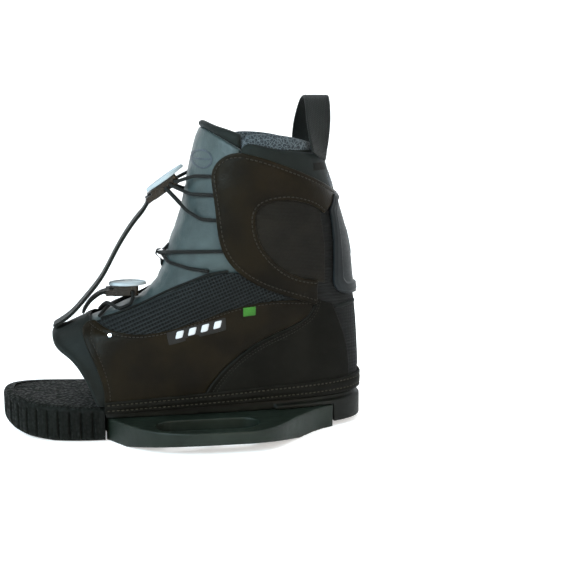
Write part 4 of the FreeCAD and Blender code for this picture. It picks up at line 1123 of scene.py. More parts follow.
# seam tape and soft ridge at the heel
tape_outline = both_sides(joined(straight([(0, 45.5), (4, 45.5), (4, 112), (0, 112)]), 1.2))
make_panel("heel_seam_tape", chart_high, tape_outline, (-1.1, 0.5), BINDING,
           step=(1.4, 1.6), edge=1.6, rings=(0.3, 0.7, 1.2),
           relief=lambda uv, base, to_rim: -0.6 * np.exp(-(uv[:, 0] / 0.7) ** 2))
for label, sign in (("left", 1), ("right", -1)):
    ridge_path = joined(straight([(4.6 * sign, 106.6), (18 * sign, 106.3), (33.5 * sign, 104.6)]), 1.0)
    ridge_points, ridge_up = chart_high.place(ridge_path, -0.3)
    taper = np.clip(from_ends(ridge_path) / 5.0, 0.25, 1) ** 0.5
    finish_piece(tube(f"heel_ridge_{label}_cord", ridge_points, 1.9 * taper, 12, 0.7, ridge_up), BINDING,
                 nodes=[f"heel_ridge_{label}"])

# foxing strip: the welt round the foot of the upper, sewn with two rows
fox_half = side_path(chart, straight([(150, 30), (60, 28.5), (-83, 24), (-83, 34.5), (60, 42), (150, 44)]), SIDE_STEP)
fox_low = side_path(chart, straight([(150, 33.6), (60, 32.2), (-81.5, 27.0)]), 0.9)
fox_high = side_path(chart, straight([(150, 40.4), (60, 38.6), (-81.5, 31.8)]), 0.9)


def fox_relief(uv, base, to_rim):
    low = chart.place(around(fox_low))[0]
    high = chart.place(around(fox_high))[0]
    d = np.minimum(distance(base, low), distance(base, high))
    return 0.5 * np.clip(d / 2.0, 0, 1) + 0.1 * wander(base, 18.0, 31.0)


make_panel("foxing_strip", chart, both_sides(fox_half), (0.1, 1.6), LEATHER_HEEL,
           step=(2.6, 1.6), rings=(0.3, 0.7), seams=[around(fox_low), around(fox_high)], relief=fox_relief,
           stitch=THREAD_WELT, stitch_size=(2.2, 1.6, 0.5))

# collar band: soft foam between the panels and the lining
chart_top = Chart(200.0)
band_half = side_path(chart_top, [[(130, 203), (104, 203)], [(104, 203), (89, 211), (62, 222), (45, 229), (31.5, 230)],
                                  [(31.5, 230), (31.5, 241.5)],
                                  [(31.5, 241.5), (36, 244.6), (45, 244), (62, 240.5), (80, 238.5), (95, 237),
                                   (130, 236)]], SIDE_STEP)


def collar_relief(uv, base, to_rim):
    puff = 1.5 * np.clip(to_rim / 9.0, 0, 1) ** 0.6
    return puff + 0.45 * wander(base, 20.0, 41.0) + 0.2 * wander(base, 7.0, 45.0)


band = make_panel("collar_band", chart_top, both_sides(band_half), (-3.2, 0.0), COLLAR,
                  step=(2.2, 2.0), edge=2.0, rings=(0.3, 0.8, 1.5), relief=collar_relief)

# inner boot
liner_low = shifted([(-92, 86.5), (-72, 92), (-50, 100), (-28, 109), (-8, 117), (10, 123), (30, 132)], 0.6, -0.8)
liner_top = [(31, 247.5), (35, 251.5), (45, 253), (61, 252.2), (87, 248.6), (105, 244.6), (135, 241)]
liner_half = side_path(chart, [[(150, 31.4), (-84, 31.4)], [(-84, 31.4), (-84, 50), (-87, 64), (-91, 77), liner_low[0]],
                               liner_low, [liner_low[-1], (31, 150)], [(31, 150), (31, 247.5)], liner_top], 1.8)


def liner_relief(uv, base, to_rim):
    """Puffed roll along the top rim, quilted lower down."""
    high = np.clip((base[:, 2] - 215) / 25.0, 0, 1)
    return 0.9 * high * np.clip(to_rim / 6.0, 0, 1) + 0.35 * wander(base, 16.0, 51.0) * (0.4 + high)


liner = make_panel("liner", chart, both_sides(liner_half), (-8.9, -3.3), LINING,
                   step=(3.2, 2.8), edge=2.7, rings=(0.35, 1.0, 1.9, 2.8), relief=liner_relief)
liner[0].data.materials.append(COLLAR)
# the outer face is plain where the collar band covers it; the printed lining shows above
for face in list(liner[0].data.polygons)[:len(liner[0].data.polygons) // 2]:
    face.material_index = int(face.center.z < 0.2395)

# toe cuff: smooth neoprene with a rolled front edge
chart_toe = Chart(300.0, "toe")
cuff_rear = [(-76, CUFF_FOOT), (-79, 50), (-86, 74), (-91, 90), (-94, 104)]
cuff_half = side_path(chart_toe, [CUFF_FRONT, [(-89, CUFF_FOOT), (-76, CUFF_FOOT)], cuff_rear,
                                  [(-94, 104), (-127, 104)]], SIDE_STEP)
cuff_edge = side_path(chart_toe, [CUFF_FRONT], 1.0)


def cuff_relief(uv, base, to_rim):
    line = chart_toe.place(around(cuff_edge))[0]
    d = distance(base, line)
    roll = 1.1 * np.exp(-((d - 2.6) / 2.2) ** 2) - 0.5 * np.exp(-((d - 7.0) / 1.2) ** 2)
    return roll + 0.3 * wander(base, 16.0, 61.0)


make_panel("toe_cuff", chart_toe, both_sides(cuff_half), (-3.4, -1.2), NEOPRENE,
           step=(2.0, 1.8), edge=1.2, rings=(0.3, 0.8, 1.6, 2.6, 4.0), relief=cuff_relief)

# tongue
tongue_low = [(-116, 84), (-92, 86.5), (-72, 92), (-50, 100), (-28, 109), (-8, 117), (10, 123), (30, 132)]
tongue_top = [(-24, 268), (-6, 262), (2, 257), (14, 250), (30, 241)]
tongue_half = side_path(chart_toe, [[(-150, 89.7), (-116, 84)], tongue_low, [(30, 132), (30, 241)],
                                    list(reversed(tongue_top))], 1.8)


def tongue_relief(uv, base, to_rim):
    """Soft padding with flex creases at the ankle."""
    x, y, z = base[:, 0], base[:, 1], base[:, 2]
    h = 0.7 * np.clip(to_rim / 9.0, 0, 1) + 0.5 * wander(base, 26.0, 71.0) + 0.25 * wander(base, 9.0, 75.0)
    for z0, slant, depth, width, y0, reach in (
            (112, 0.10, 0.8, 2.2, -22, 22), (119, -0.06, 1.0, 2.4, -8, 34), (127, 0.12, 0.9, 2.2, -26, 20),
            (131, -0.10, 0.7, 2.0, 18, 26), (138, 0.07, 0.7, 2.4, -12, 30), (165, 0.10, 0.55, 2.6, -26, 18),
            (174, -0.08, 0.45, 2.4, 10, 26), (190, 0.06, 0.5, 2.6, -18, 24), (212, -0.05, 0.35, 2.6, 8, 26)):
        across = z - z0 - slant * (y - y0) + 1.2 * np.sin(y / 6.0)
        h -= depth * np.exp(-(across / width) ** 2) * np.exp(-((y - y0) / reach) ** 2)
    return h


make_panel("tongue", chart_toe, both_sides(tongue_half), (-9.2, -4.6), TONGUE_CLOTH,
           step=(2.2, 1.7), edge=2.0, rings=(0.35, 1.0, 2.0), relief=tongue_relief)

# tongue binding: rolled padded tape along the tongue's top
binding_low = shifted(tongue_top, 0.0, 0.4)
binding_top = [(-20, 275), (-3, 267), (7, 261.5), (18, 257.5), (30, 253)]
chart_collar = Chart(195.0, "toe")
binding_half = side_path(chart_collar, [binding_low, [binding_low[-1], binding_top[-1]],
                                        list(reversed(binding_top))], 1.2)
bind = make_panel("tongue_binding", chart_collar, both_sides(binding_half), (-9.9, -3.3), COLLAR,
                  step=(1.8, 1.4), edge=3.4, rings=(0.3, 0.8, 1.5, 2.4, 3.2),
                  relief=lambda uv, base, to_rim: 0.3 * wander(base, 9.0, 81.0))

# ------------------------------------------------------------------ back of the boot, (y, z) seen from behind
YOKE = [(0, 202.6), (-30.5, 203), (-33, 209), (-34, 217.5), (-20, 221), (0, 221.5)]
yoke_half = back_path(chart_high, [YOKE[:2], YOKE[1:4], YOKE[3:]], 1.2)
yoke_high = around(inset(back_path(chart_high, [[(0, 221.5), (-20, 221), (-33, 217.5)]], 0.8), -2.6))
yoke_low = around(back_path(chart_high, [[(0, 205.8), (-29.0, 206.0)]], 0.8))
# the yoke is the same black leather as the ankle panel; its lighter grey colour is a painted reflection
make_panel("back_yoke", chart_high, both_sides(yoke_half), (0.1, 1.6), LEATHER_GREY_AND_PAINTED_SHEEN,
           step=(2.0, 2.0), seams=[yoke_high, yoke_low], relief=leather_relief(24.0, 0.3, 91.0),
           stitch_size=(1.9, 1.3, 0.32))

SHIELD_EDGE = [(0, 113.5), (-24, 114.5), (-31, 117.5), (-36, 127), (-39.5, 157), (-41, 190), (-31, 201.5), (0, 202)]
FIELD_EDGE = [(0, 122.5), (-21, 123.5), (-27, 125), (-30.5, 130), (-34, 157), (-35.5, 186.5), (-27.5, 195.5), (0, 196)]


def shield_path(points):
    """Half outline with two rounded corners at the foot and chamfers at the top."""
    low = back_path(chart_high, [points[:2], points[1:4], points[3:6]], 1.0)
    top = back_path(chart_high, [points[5:7], points[6:]], 1.0)
    path = np.concatenate([low, top[1:]])
    for _ in range(3):
        path[1:-1] = 0.25 * path[:-2] + 0.5 * path[1:-1] + 0.25 * path[2:]
    return path


shield_half = shield_path(SHIELD_EDGE)
field_line = both_sides(shield_path(FIELD_EDGE))
field_loop = np.concatenate([field_line, field_line[:1]])


def shield_relief(uv, base, to_rim):
    """Bevelled frame round a sunken field."""
    field = chart_high.place(field_line)[0]
    d = distance(base, field, True)
    within = inside(uv, field_line)
    signed = np.where(within, d, -d)
    bevel = -2.0 * (1 - np.clip(to_rim / 2.6, 0, 1))
    sunk = np.where(signed > -0.6, -1.7 * np.clip((signed + 0.6) / 1.8, 0, 1), 0.0)
    lip = 0.35 * np.exp(-((signed + 1.4) / 0.9) ** 2)
    dome = 0.5 * np.clip(signed / 22.0, 0, 1)
    return bevel + sunk + lip + dome


make_panel("back_shield", chart_high, both_sides(shield_half), (0.2, 4.2), SHIELD,
           step=(2.4, 2.4), edge=0.7, rings=(0.3, 0.8, 1.4, 2.0, 2.7, 3.4),
           lines=[(field_loop, (-2.0, -1.4, -0.8, -0.3, 0.2, 0.7, 1.2, 1.8, 2.6))], relief=shield_relief)

# ------------------------------------------------------------------ sole and chassis
def moulded(name, node, size, passes, material, body="boot"):
    """Rounded copy of a CAD part: remeshed to an even skin, then relaxed."""
    source = NODES[node]
    obj = bpy.data.objects.new(name, source.data.copy())
    obj.matrix_world = source.matrix_world
    bpy.context.scene.collection.objects.link(obj)
    remesh = obj.modifiers.new("skin", "REMESH")
    remesh.mode = "VOXEL"
    remesh.voxel_size = size * MM
    relax = obj.modifiers.new("relax", "SMOOTH")
    relax.factor, relax.iterations = 0.5, passes
    bpy.context.view_layer.update()
    done = bpy.data.meshes.new_from_object(obj.evaluated_get(bpy.context.evaluated_depsgraph_get()))
    done.transform(obj.matrix_world)
    bpy.data.objects.remove(obj)
    obj = bpy.data.objects.new(name, done)
    bpy.context.scene.collection.objects.link(obj)
    done.polygons.foreach_set("use_smooth", [True] * len(done.polygons))
    return finish_piece(obj, material, body, [node])


moulded("chassis_shell", "baseplate", 1.0, 5, CHASSIS)
moulded("midsole_block", "midsole", 1.1, 6, SOLE)

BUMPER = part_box("toe_bumper")
BUMPER_REAR, BUMPER_FRONT = BUMPER[1][0] / MM, BUMPER[0][0] / MM
FLUTES = 23


def bumper_plan(count):
    """Plan of the toe platform from the rear lateral corner round the toe to the medial one."""
    a = np.linspace(0, np.pi, 1601)
    r = np.sin(a) ** (2 / 2.3)
    x = BUMPER_REAR - (BUMPER_REAR - BUMPER_FRONT) * r
    y = -np.sign(np.cos(a)) * 50.0 * np.abs(np.cos(a)) ** (2 / 2.3) + 6 * r * r
    return even(np.stack([x, y], -1), count)


def bumper_top(x):
    t = np.clip((BUMPER_REAR - x) / (BUMPER_REAR - BUMPER_FRONT), 0, 1)
    return 29.0 + 7.0 * t ** 1.7


def bumper_under(x):
    return np.interp(x, [BUMPER_FRONT, -160, -145, -125, BUMPER_REAR], [10.4, 6.0, 2.2, 0.3, 0.3])


def toe_platform():
    """Foam block: pebbled top with a rolled rim, ribbed wall, rounded foot."""
    count = 660
    rim = bumper_plan(count)
    t = tangents(rim)
    out = np.stack([-t[:, 1], t[:, 0]], -1)
    middle = np.array([BUMPER_REAR, 0.0])
    if ((rim[count // 2] - middle) * out[count // 2]).sum() < 0:
        out = -out
    share = np.linspace(0, 1, count)
    wave = (share * FLUTES + 0.5) % 1.0
    cut = np.exp(-((wave - 0.5) / 0.10) ** 2)
    belly = np.sqrt(np.maximum(0, 1 - (2 * wave - 1) ** 2))
    ends = np.clip(np.minimum(share, 1 - share) * 40, 0, 1)
    # height share on the wall, inset of the wall
    profile = [(1.00, 9.0, 0), (1.00, 5.5, 0), (0.998, 3.6, 0), (0.985, 2.2, 0), (0.96, 1.1, 0), (0.92, 0.45, 0),
               (0.88, 0.15, 0.1), (0.83, 0.1, 0.6), (0.78, 0.1, 1), (0.6, 0.1, 1), (0.4, 0.1, 1), (0.24, 0.15, 1),
               (0.15, 0.5, 0.8), (0.08, 1.3, 0.4), (0.03, 2.6, 0.1), (0.0, 4.6, 0)]
    top, under = bumper_top(rim[:, 0]), bumper_under(rim[:, 0])
    verts = []
    for h, back, rib in profile:
        inward = back + rib * ends * (2.0 * cut + 0.5 * (1 - belly))
        p = rim - out * inward[:, None]
        p[:, 0] = np.minimum(p[:, 0], BUMPER_REAR)
        verts.append(np.column_stack([p, under + (top - under) * h]))
    rows = len(verts)
    verts = np.concatenate(verts)
    faces = []
    for r in range(rows - 1):
        for k in range(count - 1):
            a = r * count + k
            faces.append((a, a + 1, a + 1 + count, a + count))
    rear = [r * count for r in range(rows)] + [r * count + count - 1 for r in range(rows - 1, -1, -1)]
    faces.append(rear)
    # top and underside as filled plans
    for row, height, flip in ((0, bumper_top, False), (rows - 1, bumper_under, True)):
        ring = verts[row * count:(row + 1) * count]
        plan, tris = fill(ring[:, :2], (3.4, 3.4), ())
        z = height(plan[:, 0])
        base = len(verts)
        verts = np.concatenate([verts, np.column_stack([plan, z])])
        faces += [tuple(base + i for i in (tri[::-1] if flip else tri)) for tri in tris]
    obj = cleaned(new_mesh("toe_platform", verts, faces),
                  lambda work: bmesh.ops.remove_doubles(work, verts=work.verts, dist=0.00002))
    finish_piece(obj, FOAM_TOP, nodes=["toe_bumper"])


toe_platform()

# footbed: soft insole with a rolled edge and a dished heel
bed_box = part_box("footbed")
bed_half = RINGS[7][::4].copy()
bed_half = bed_half[bed_half[:, 0] > -86]
bed_rim = np.concatenate([bed_half[:, :2] * (1, -1), bed_half[::-1, :2]])
bed_rim = even(bed_rim[:-1], step=2.0)
bed_rim = inset(counterclockwise(bed_rim), 9.2, loop=True)
bed_plan, bed_tris = fill(bed_rim, (4.0, 4.0), (0.4, 1.0, 2.0))
bed_edge = distance(bed_plan, counterclockwise(bed_rim), True)
swell = rounded(bed_edge / 2.0)
bed_mid = (bed_box[0][2] + bed_box[1][2]) / 2 / MM
dish = -0.8 * np.clip(bed_edge / 22.0, 0, 1)
bed_points3 = np.column_stack([bed_plan, np.full(len(bed_plan), bed_mid)])
bed_high = bed_points3 + np.column_stack([np.zeros((len(bed_plan), 2)), 1.9 * swell + dish
                                          + 0.15 * wander(bed_points3, 14.0, 101.0)])
bed_low = bed_points3 - np.column_stack([np.zeros((len(bed_plan), 2)), 1.8 * swell])
footbed = new_mesh("footbed_cushion", np.concatenate([bed_high, bed_low]),
                   [tuple(f) for f in bed_tris] + [tuple(f[::-1] + len(bed_plan)) for f in bed_tris],
                   np.concatenate([bed_plan, bed_plan]))
finish_piece(footbed, FOOTBED, nodes=["footbed"])

# ------------------------------------------------------------------ laces
LACE_R = 1.5
ON_TONGUE = -1.75
UPPER_LOCK = (-27.0, 207.0, 35.0)
LOWER_LOCK = (-62.0, 118.4, 0.0)


def half_width(x, z):
    heel, toe, mid, half, n_heel, n_toe = (float(v) for v in section(np.array(z)))
    n = n_heel if x >= mid else n_toe
    ratio = (x - mid) / (heel - mid) if x >= mid else (mid - x) / (mid - toe)
    return 0.0 if ratio >= 1 else half * (1 - ratio ** n) ** (1 / n)


def level(p):
    """Zero on the section surface, positive outside it."""
    heel, toe, mid, half, n_heel, n_toe = (float(v) for v in section(np.array(p[2])))
    n, reach = (n_heel, heel - mid) if p[0] >= mid else (n_toe, mid - toe)
    return (abs(p[0] - mid) / reach) ** n + (abs(p[1]) / half) ** n - 1


def off(x, y, z, gap):
    """Point at a distance from the section surface."""
    p = np.array([x, y, z], float)
    g = np.array([level(p + e) - level(p - e) for e in np.eye(3) * 0.05])
    if abs(y) < 1e-6:
        g[1] = 0.0
    return p + g / np.linalg.norm(g) * gap


def on_side(x, z, gap, side=-1):
    return off(x, side * half_width(x, z), z, gap)


def on_top(x, y, gap):
    low, high = 60.0, 262.0
    for _ in range(40):
        z = (low + high) / 2
        low, high = (z, high) if half_width(x, z) > abs(y) else (low, z)
    return off(x, y, low, gap)


def on_front(y, z, gap):
    low, high = (float(section(np.array(z))[k]) for k in (1, 2))
    for _ in range(40):
        x = (low + high) / 2
        low, high = (low, x) if half_width(x, z) > abs(y) else (x, high)
    return off(high, y, z, gap)


def lock_point(lock, u, v, w):
    """Point in a lock's own frame: u along it, v across it, w away from the boot."""
    a = math.radians(lock[2])
    return np.array([lock[0] + u * math.cos(a) - w * math.sin(a), v, lock[1] + u * math.sin(a) + w * math.cos(a)])


def flip(points):
    """The same run on the other side, followed the other way."""
    return [p * (1, -1, 1) for p in reversed(points)]


def crossing(sign, rise):
    """One lace run across the tongue. rise lifts it over the other run."""
    return [on_side(4, 140.5, ON_TONGUE, sign), on_front(sign * 40, 142.5, ON_TONGUE + 0.6),
            on_front(sign * 22, 146, ON_TONGUE + 0.5 + 0.6 * rise), on_front(0.0, 150.5, ON_TONGUE + 0.9 + rise),
            on_front(-sign * 22, 154, ON_TONGUE + 0.5 + 0.6 * rise), on_front(-sign * 42, 156.5, ON_TONGUE + 0.7)]


def turn_up(sign, low, high, depth, corner):
    """Hidden turn under a panel, from one height up to the next."""
    return [on_side(depth - corner, low, ON_TONGUE, sign), on_side(depth, low + corner, ON_TONGUE, sign),
            on_side(depth, high - corner, ON_TONGUE, sign), on_side(depth - corner, high, ON_TONGUE, sign)]


def to_lock(sign, z, u):
    return [on_front(sign * 42, z + 0.5, ON_TONGUE + 0.3),
            on_front(sign * 30, z + (6 if z < 190 else 0), ON_TONGUE + 2.6), lock_point(UPPER_LOCK, u, sign * 16.0, 0)]


def lace(name, node, points):
    """Braided cord through the route's corners, each corner held by a point on either side."""
    control = [points[0]]
    for before, corner, after in zip(points, points[1:], points[2:]):
        reach = 0.45 * min(np.linalg.norm(corner - before), np.linalg.norm(after - corner))
        back, on = before - corner, after - corner
        control += [corner + back / np.linalg.norm(back) * reach, corner, corner + on / np.linalg.norm(on) * reach]
    control.append(points[-1])
    path = even(nurbs(control, 8), step=0.9)
    obj = tube(name, path, LACE_R, 14)
    return finish_piece(obj, LACE, nodes=[node])


ankle = crossing(-1, 0.0) + turn_up(1, 157.5, 182.5, 25.5, 6.5)
ankle += to_lock(1, 183, -0.4) + flip(to_lock(1, 183, -0.4))
ankle += flip(turn_up(1, 157.5, 182.5, 25.5, 6.5)) + flip(crossing(-1, 3.5))
lace("ankle_lace", "upper_lace", ankle)
collar_turn = turn_up(1, 203.0, 218.5, 24.5, 5.0)
top_run = [on_side(24.5, 214, ON_TONGUE, -1), on_side(19.5, 218.5, ON_TONGUE, -1)]
top_run += to_lock(-1, 218, 9.4) + to_lock(1, 218, 9.4)[::-1] + collar_turn[::-1]
top_run += to_lock(1, 203, 4.5) + to_lock(-1, 203, 4.5)[::-1]
top_run += [on_side(19.5, 203, ON_TONGUE, -1), on_side(24.5, 207.5, ON_TONGUE, -1)]
lace("collar_top_lace", "collar_lace", top_run)


def instep_half(rise):
    return [on_top(-86, -17.5, ON_TONGUE), on_top(-82, -8, ON_TONGUE + 0.6 * rise),
            on_top(-78.5, 0.0, ON_TONGUE + rise), on_top(-75, 8, ON_TONGUE + 0.6 * rise),
            on_top(-71.5, 16.5, ON_TONGUE), on_top(-68, 21.0, ON_TONGUE), on_top(-60, 21.5, ON_TONGUE),
            on_top(-57, 16.5, ON_TONGUE + 1.6), lock_point(LOWER_LOCK, 5, 13.0, 0)]


lace("instep_lace", "lower_lace", instep_half(0.0) + flip(instep_half(3.5)))

# ------------------------------------------------------------------ lace locks
for label in ("upper", "lower"):
    moulded(f"{label}_lock_case", f"{label}_lock_body", 0.36, 3, AMBER)


def leaf(name, node, lock, front, rear, half, w0, w1):
    """Domed leaf with a raised border and two grip lines across it."""
    middle, reach = (front + rear) / 2, (rear - front) / 2
    tip = 2.5
    sag = half - tip
    radius = (reach * reach + sag * sag) / (2 * sag)
    u = np.linspace(front, rear, 61)
    edge = np.sqrt(radius ** 2 - (u - middle) ** 2) - (radius - half)
    rim = np.concatenate([np.column_stack([u, -edge]), np.column_stack([u[::-1], edge[::-1]])])
    rim = even(np.concatenate([rim, rim[:1]]), step=0.8)[:-1]
    plan, tris = fill(rim, (0.7, 0.7), (0.2, 0.5, 0.9, 1.4, 1.9, 2.4, 3.0))
    d = distance(plan, counterclockwise(rim), True)
    swell = rounded(d / 1.5)
    dish = -0.75 * np.clip((d - 2.2) / 1.0, 0, 1) + 0.5 * np.clip((d - 3.0) / 6.0, 0, 1)
    for station in (-3.4, 3.4):
        dish = dish - 0.35 * np.exp(-((plan[:, 0] - middle - station) / 0.55) ** 2) * (d > 2.6)
    high = w0 + 0.2 + (w1 - w0 - 0.2) * swell + dish
    low = np.full(len(plan), w0) + 0.2 * (1 - np.clip(d / 0.6, 0, 1))
    points = [lock_point(lock, p[0], p[1], h) for p, h in zip(plan, high)]
    points += [lock_point(lock, p[0], p[1], h) for p, h in zip(plan, low)]
    n = len(plan)
    faces = [tuple(f) for f in tris] + [tuple(f[::-1] + n) for f in tris]
    obj = cleaned(new_mesh(name, points, faces, np.concatenate([plan, plan])),
                  lambda work: bmesh.ops.bridge_loops(work, edges=[e for e in work.edges if e.is_boundary]))
    finish_piece(obj, CAP, nodes=[node])


leaf("upper_lock_leaf", "upper_lock_cap", UPPER_LOCK, -15.0, 23.0, 11.5, 5.5, 8.3)
leaf("lower_lock_leaf", "lower_lock_cap", LOWER_LOCK, -15.0, 17.0, 11.5, 5.5, 8.3)


# ------------------------------------------------------------------ webbing straps
def width_frame(path, across):
    """Width direction and face normal of a ribbon at each point."""
    t = tangents(path)
    a = across - t * (across * t).sum(1)[:, None]
    a /= np.linalg.norm(a, axis=1)[:, None]
    return a, np.cross(a, t)


def ribbon(name, p, across, widths, thick, body, node):
    """Flat webbing swept along the path p. across is the width direction at each point."""
    a, n = width_frame(p, across)
    r = thick / 2
    corner = np.radians([90, 60, 30, 0, -30, -60, -90])
    widths = np.broadcast_to(widths, (len(p),))
    run = run_along(p)
    verts, uvs = [], []
    flat_share = np.linspace(-1, 1, 10)
    for i in range(len(p)):
        w = widths[i] / 2 - r
        edge = min(i, len(p) - 1 - i)
        taper = min(1.0, 0.45 + 0.28 * edge)
        section_points = [(s * w, r) for s in flat_share]
        section_points += [(w + r * math.cos(c), r * math.sin(c)) for c in corner[1:-1]]
        section_points += [(-s * w, -r) for s in flat_share]
        section_points += [(-w - r * math.cos(c), -r * math.sin(c)) for c in corner[1:-1]]
        for x, y in section_points:
            crown = 0.12 * math.cos(math.pi * x / max(widths[i], 1)) if abs(x) < w else 0.0
            verts.append(p[i] + a[i] * x + n[i] * (y * taper + math.copysign(crown, y) * 0.5))
            uvs.append((run[i], x))
    obj = cleaned(new_mesh(name, verts, swept_faces(len(p), len(verts) // len(p)), uvs))
    finish_piece(obj, WEB, body, [node])


FOLD_R = 2.12            # middle of the webbing where it goes round the pin


def pull_strap(label, pin, points, neck, width, thick, neck_end, layer):
    """Webbing folded round its lock pin and sewn back on itself."""
    line = spline([(pin[0], pin[2])] + points, step=0.8)
    run = run_along(line)
    t = tangents(line)
    n = np.column_stack([-t[:, 1], t[:, 0]])
    gap = (thick - layer) / 2
    upper, lower = line + n * gap, line - n * gap
    start = int(np.argmax(run > 3.4))
    # the fold round the pin, from the lower layer round to the upper one
    r = FOLD_R
    a0 = math.atan2(-n[start, 1], -n[start, 0])
    centre = np.array([pin[0], pin[2]])
    sweep = -1 if (n[start, 0] * t[start, 1] - n[start, 1] * t[start, 0]) > 0 else 1
    arc = a0 - sweep * np.linspace(-0.35, math.pi + 0.35, 26)
    fold = centre + r * np.column_stack([np.cos(arc), np.sin(arc)])
    if np.linalg.norm(fold[12] - (centre - t[start] * r)) > r:
        arc = a0 + sweep * np.linspace(-0.35, math.pi + 0.35, 26)
        fold = centre + r * np.column_stack([np.cos(arc), np.sin(arc)])
    whole_path = np.concatenate([lower[start:][::-1], fold, upper[start:]])
    whole_path = even(whole_path, step=0.8)
    path = np.column_stack([whole_path[:, 0], np.zeros(len(whole_path)), whole_path[:, 1]])
    from_pin = np.linalg.norm(whole_path - centre, axis=1)
    wide = neck + (width - neck) * np.clip((from_pin - neck_end) / 5.0, 0, 1) ** 0.8
    ribbon(f"{label}_strap_webbing", path, np.tile([0.0, 1.0, 0.0], (len(path), 1)), wide, layer,
           f"{label}_strap", f"{label}_pull_strap")
    return line, n


def strap_rows(label, line, n, thick, boxes, body):
    """Sewn boxes across a strap: start and end of each along the run, and its half width."""
    run = run_along(line)
    rows = []
    for s0, s1, half in boxes:
        for y in (-half, half):
            s = np.linspace(s0, s1, max(4, int((s1 - s0) / 0.8)))
            p = np.column_stack([np.interp(s, run, line[:, 0]), np.full(len(s), y), np.interp(s, run, line[:, 1])])
            q = np.column_stack([np.interp(s, run, n[:, 0]), np.zeros(len(s)), np.interp(s, run, n[:, 1])])
            rows.append((p + q * (thick / 2 - 0.06), q))
        for s in (s0, s1):
            y = np.linspace(-half, half, 20)
            c = np.array([np.interp(s, run, line[:, 0]), 0, np.interp(s, run, line[:, 1])])
            q = np.array([np.interp(s, run, n[:, 0]), 0, np.interp(s, run, n[:, 1])])
            rows.append((c + q * (thick / 2 - 0.06) + np.column_stack([np.zeros(20), y, np.zeros(20)]),
                         np.tile(q, (20, 1))))
    stitch_rows(f"{label}_strap_stitching", rows, THREAD_WEB, "webbing", body, length=1.9, gap=0.9, radius=0.24)


upper_pin = lock_point(UPPER_LOCK, -17.0, 0, 0)
line, n = pull_strap("upper", upper_pin, [(-46, 188.5), (-51, 182.5), (-62, 167.5), (-72, 150.5), (-83, 131),
                                          (-97, 113.5), (-111, 99), (-124, 90.6)], 16.4, 22.0, 2.6, 10.0, 1.25)
strap_rows("upper", line, n, 2.6, [(12.0, 30.0, 7.6), (104.0, 124.0, 8.6)], "upper_strap")
lower_pin = lock_point(LOWER_LOCK, -15.0, 0, 0)
line, n = pull_strap("lower", lower_pin, [(-82, 118.2), (-86, 116.4), (-91, 112.8), (-95.6, 107.6),
                                          (-99.5, 100.8)], 16.4, 18.0, 2.2, 8.0, 1.05)
strap_rows("lower", line, n, 2.2, [(11.0, 21.0, 6.6)], "lower_strap")

# pull loop at the heel
LOOP_LINE = [(98.0, 41.5, 233.5), (98.3, 39.0, 239.0), (98.8, 35.6, 247.0), (99.6, 30.5, 257.0),
             (100.6, 24.0, 267.0), (101.6, 15.5, 276.5), (102.3, 8.0, 281.6)]
loop_control = [np.array([x, -y, z]) for x, y, z in LOOP_LINE] + [np.array([102.8, 0, 283.4])]
loop_control += [np.array([x, y, z]) for x, y, z in reversed(LOOP_LINE)]
twists = [54, 47, 36, 24, 13, 5, 1, 0]
twists = np.array(twists + [-v for v in reversed(twists[:-1])], float)
loop_path = spline(loop_control, count=170)
gauge = run_along(np.array(loop_control))
turn = np.radians(np.interp(np.linspace(0, 1, 170), gauge / gauge[-1], twists))
loop_across = np.column_stack([np.cos(turn), np.sin(turn), np.zeros(170)])
ribbon("heel_pull_webbing", loop_path, loop_across, 22.0, 2.3, "loop", "pull_loop")
loop_a, loop_n = width_frame(loop_path, loop_across)
loop_n *= np.sign((loop_n * (loop_path - loop_path.mean(0))).sum(1))[:, None]
rows = [(loop_path[4:-4] + loop_a[4:-4] * y + loop_n[4:-4] * 1.12, loop_n[4:-4]) for y in (-8.6, 8.6)]
stitch_rows("heel_pull_stitching", rows, THREAD_WEB, "webbing", "loop", length=2.0, gap=1.0, radius=0.24)

# ------------------------------------------------------------------ piping along the lacing edge
def piping_path(side):
    stations = [(-85, 100.2)] + LACE_EDGE[1:-1] + [(21, 139.3)]
    points = []
    for i, (x, z) in enumerate(stations):
        a, b = stations[max(i - 1, 0)], stations[min(i + 1, len(stations) - 1)]
        p = on_side(x, z, -1.4, side)
        face = p - on_side(x, z, -3.4, side)
        run = on_side(b[0], b[1], 0, side) - on_side(a[0], a[1], 0, side)
        across = np.cross(run, face)
        across /= np.linalg.norm(across)
        points.append(p + across * math.copysign(1.6, across[2]))
    return spline(points, step=0.8)


for label, side in (("left", -1), ("right", 1)):
    cord_path = piping_path(side)
    taper = np.clip((from_ends(cord_path) + 0.6) / 2.4, 0.3, 1) ** 0.5
    finish_piece(tube(f"piping_{label}_cord", cord_path, 1.1 * taper, 12), BINDING,
                 nodes=[f"piping_{label}"])

# ------------------------------------------------------------------ side patch, tag and small parts
badge_field = [(-31, 91), (18, 102), (18.5, 91.5), (-29.5, 80)]


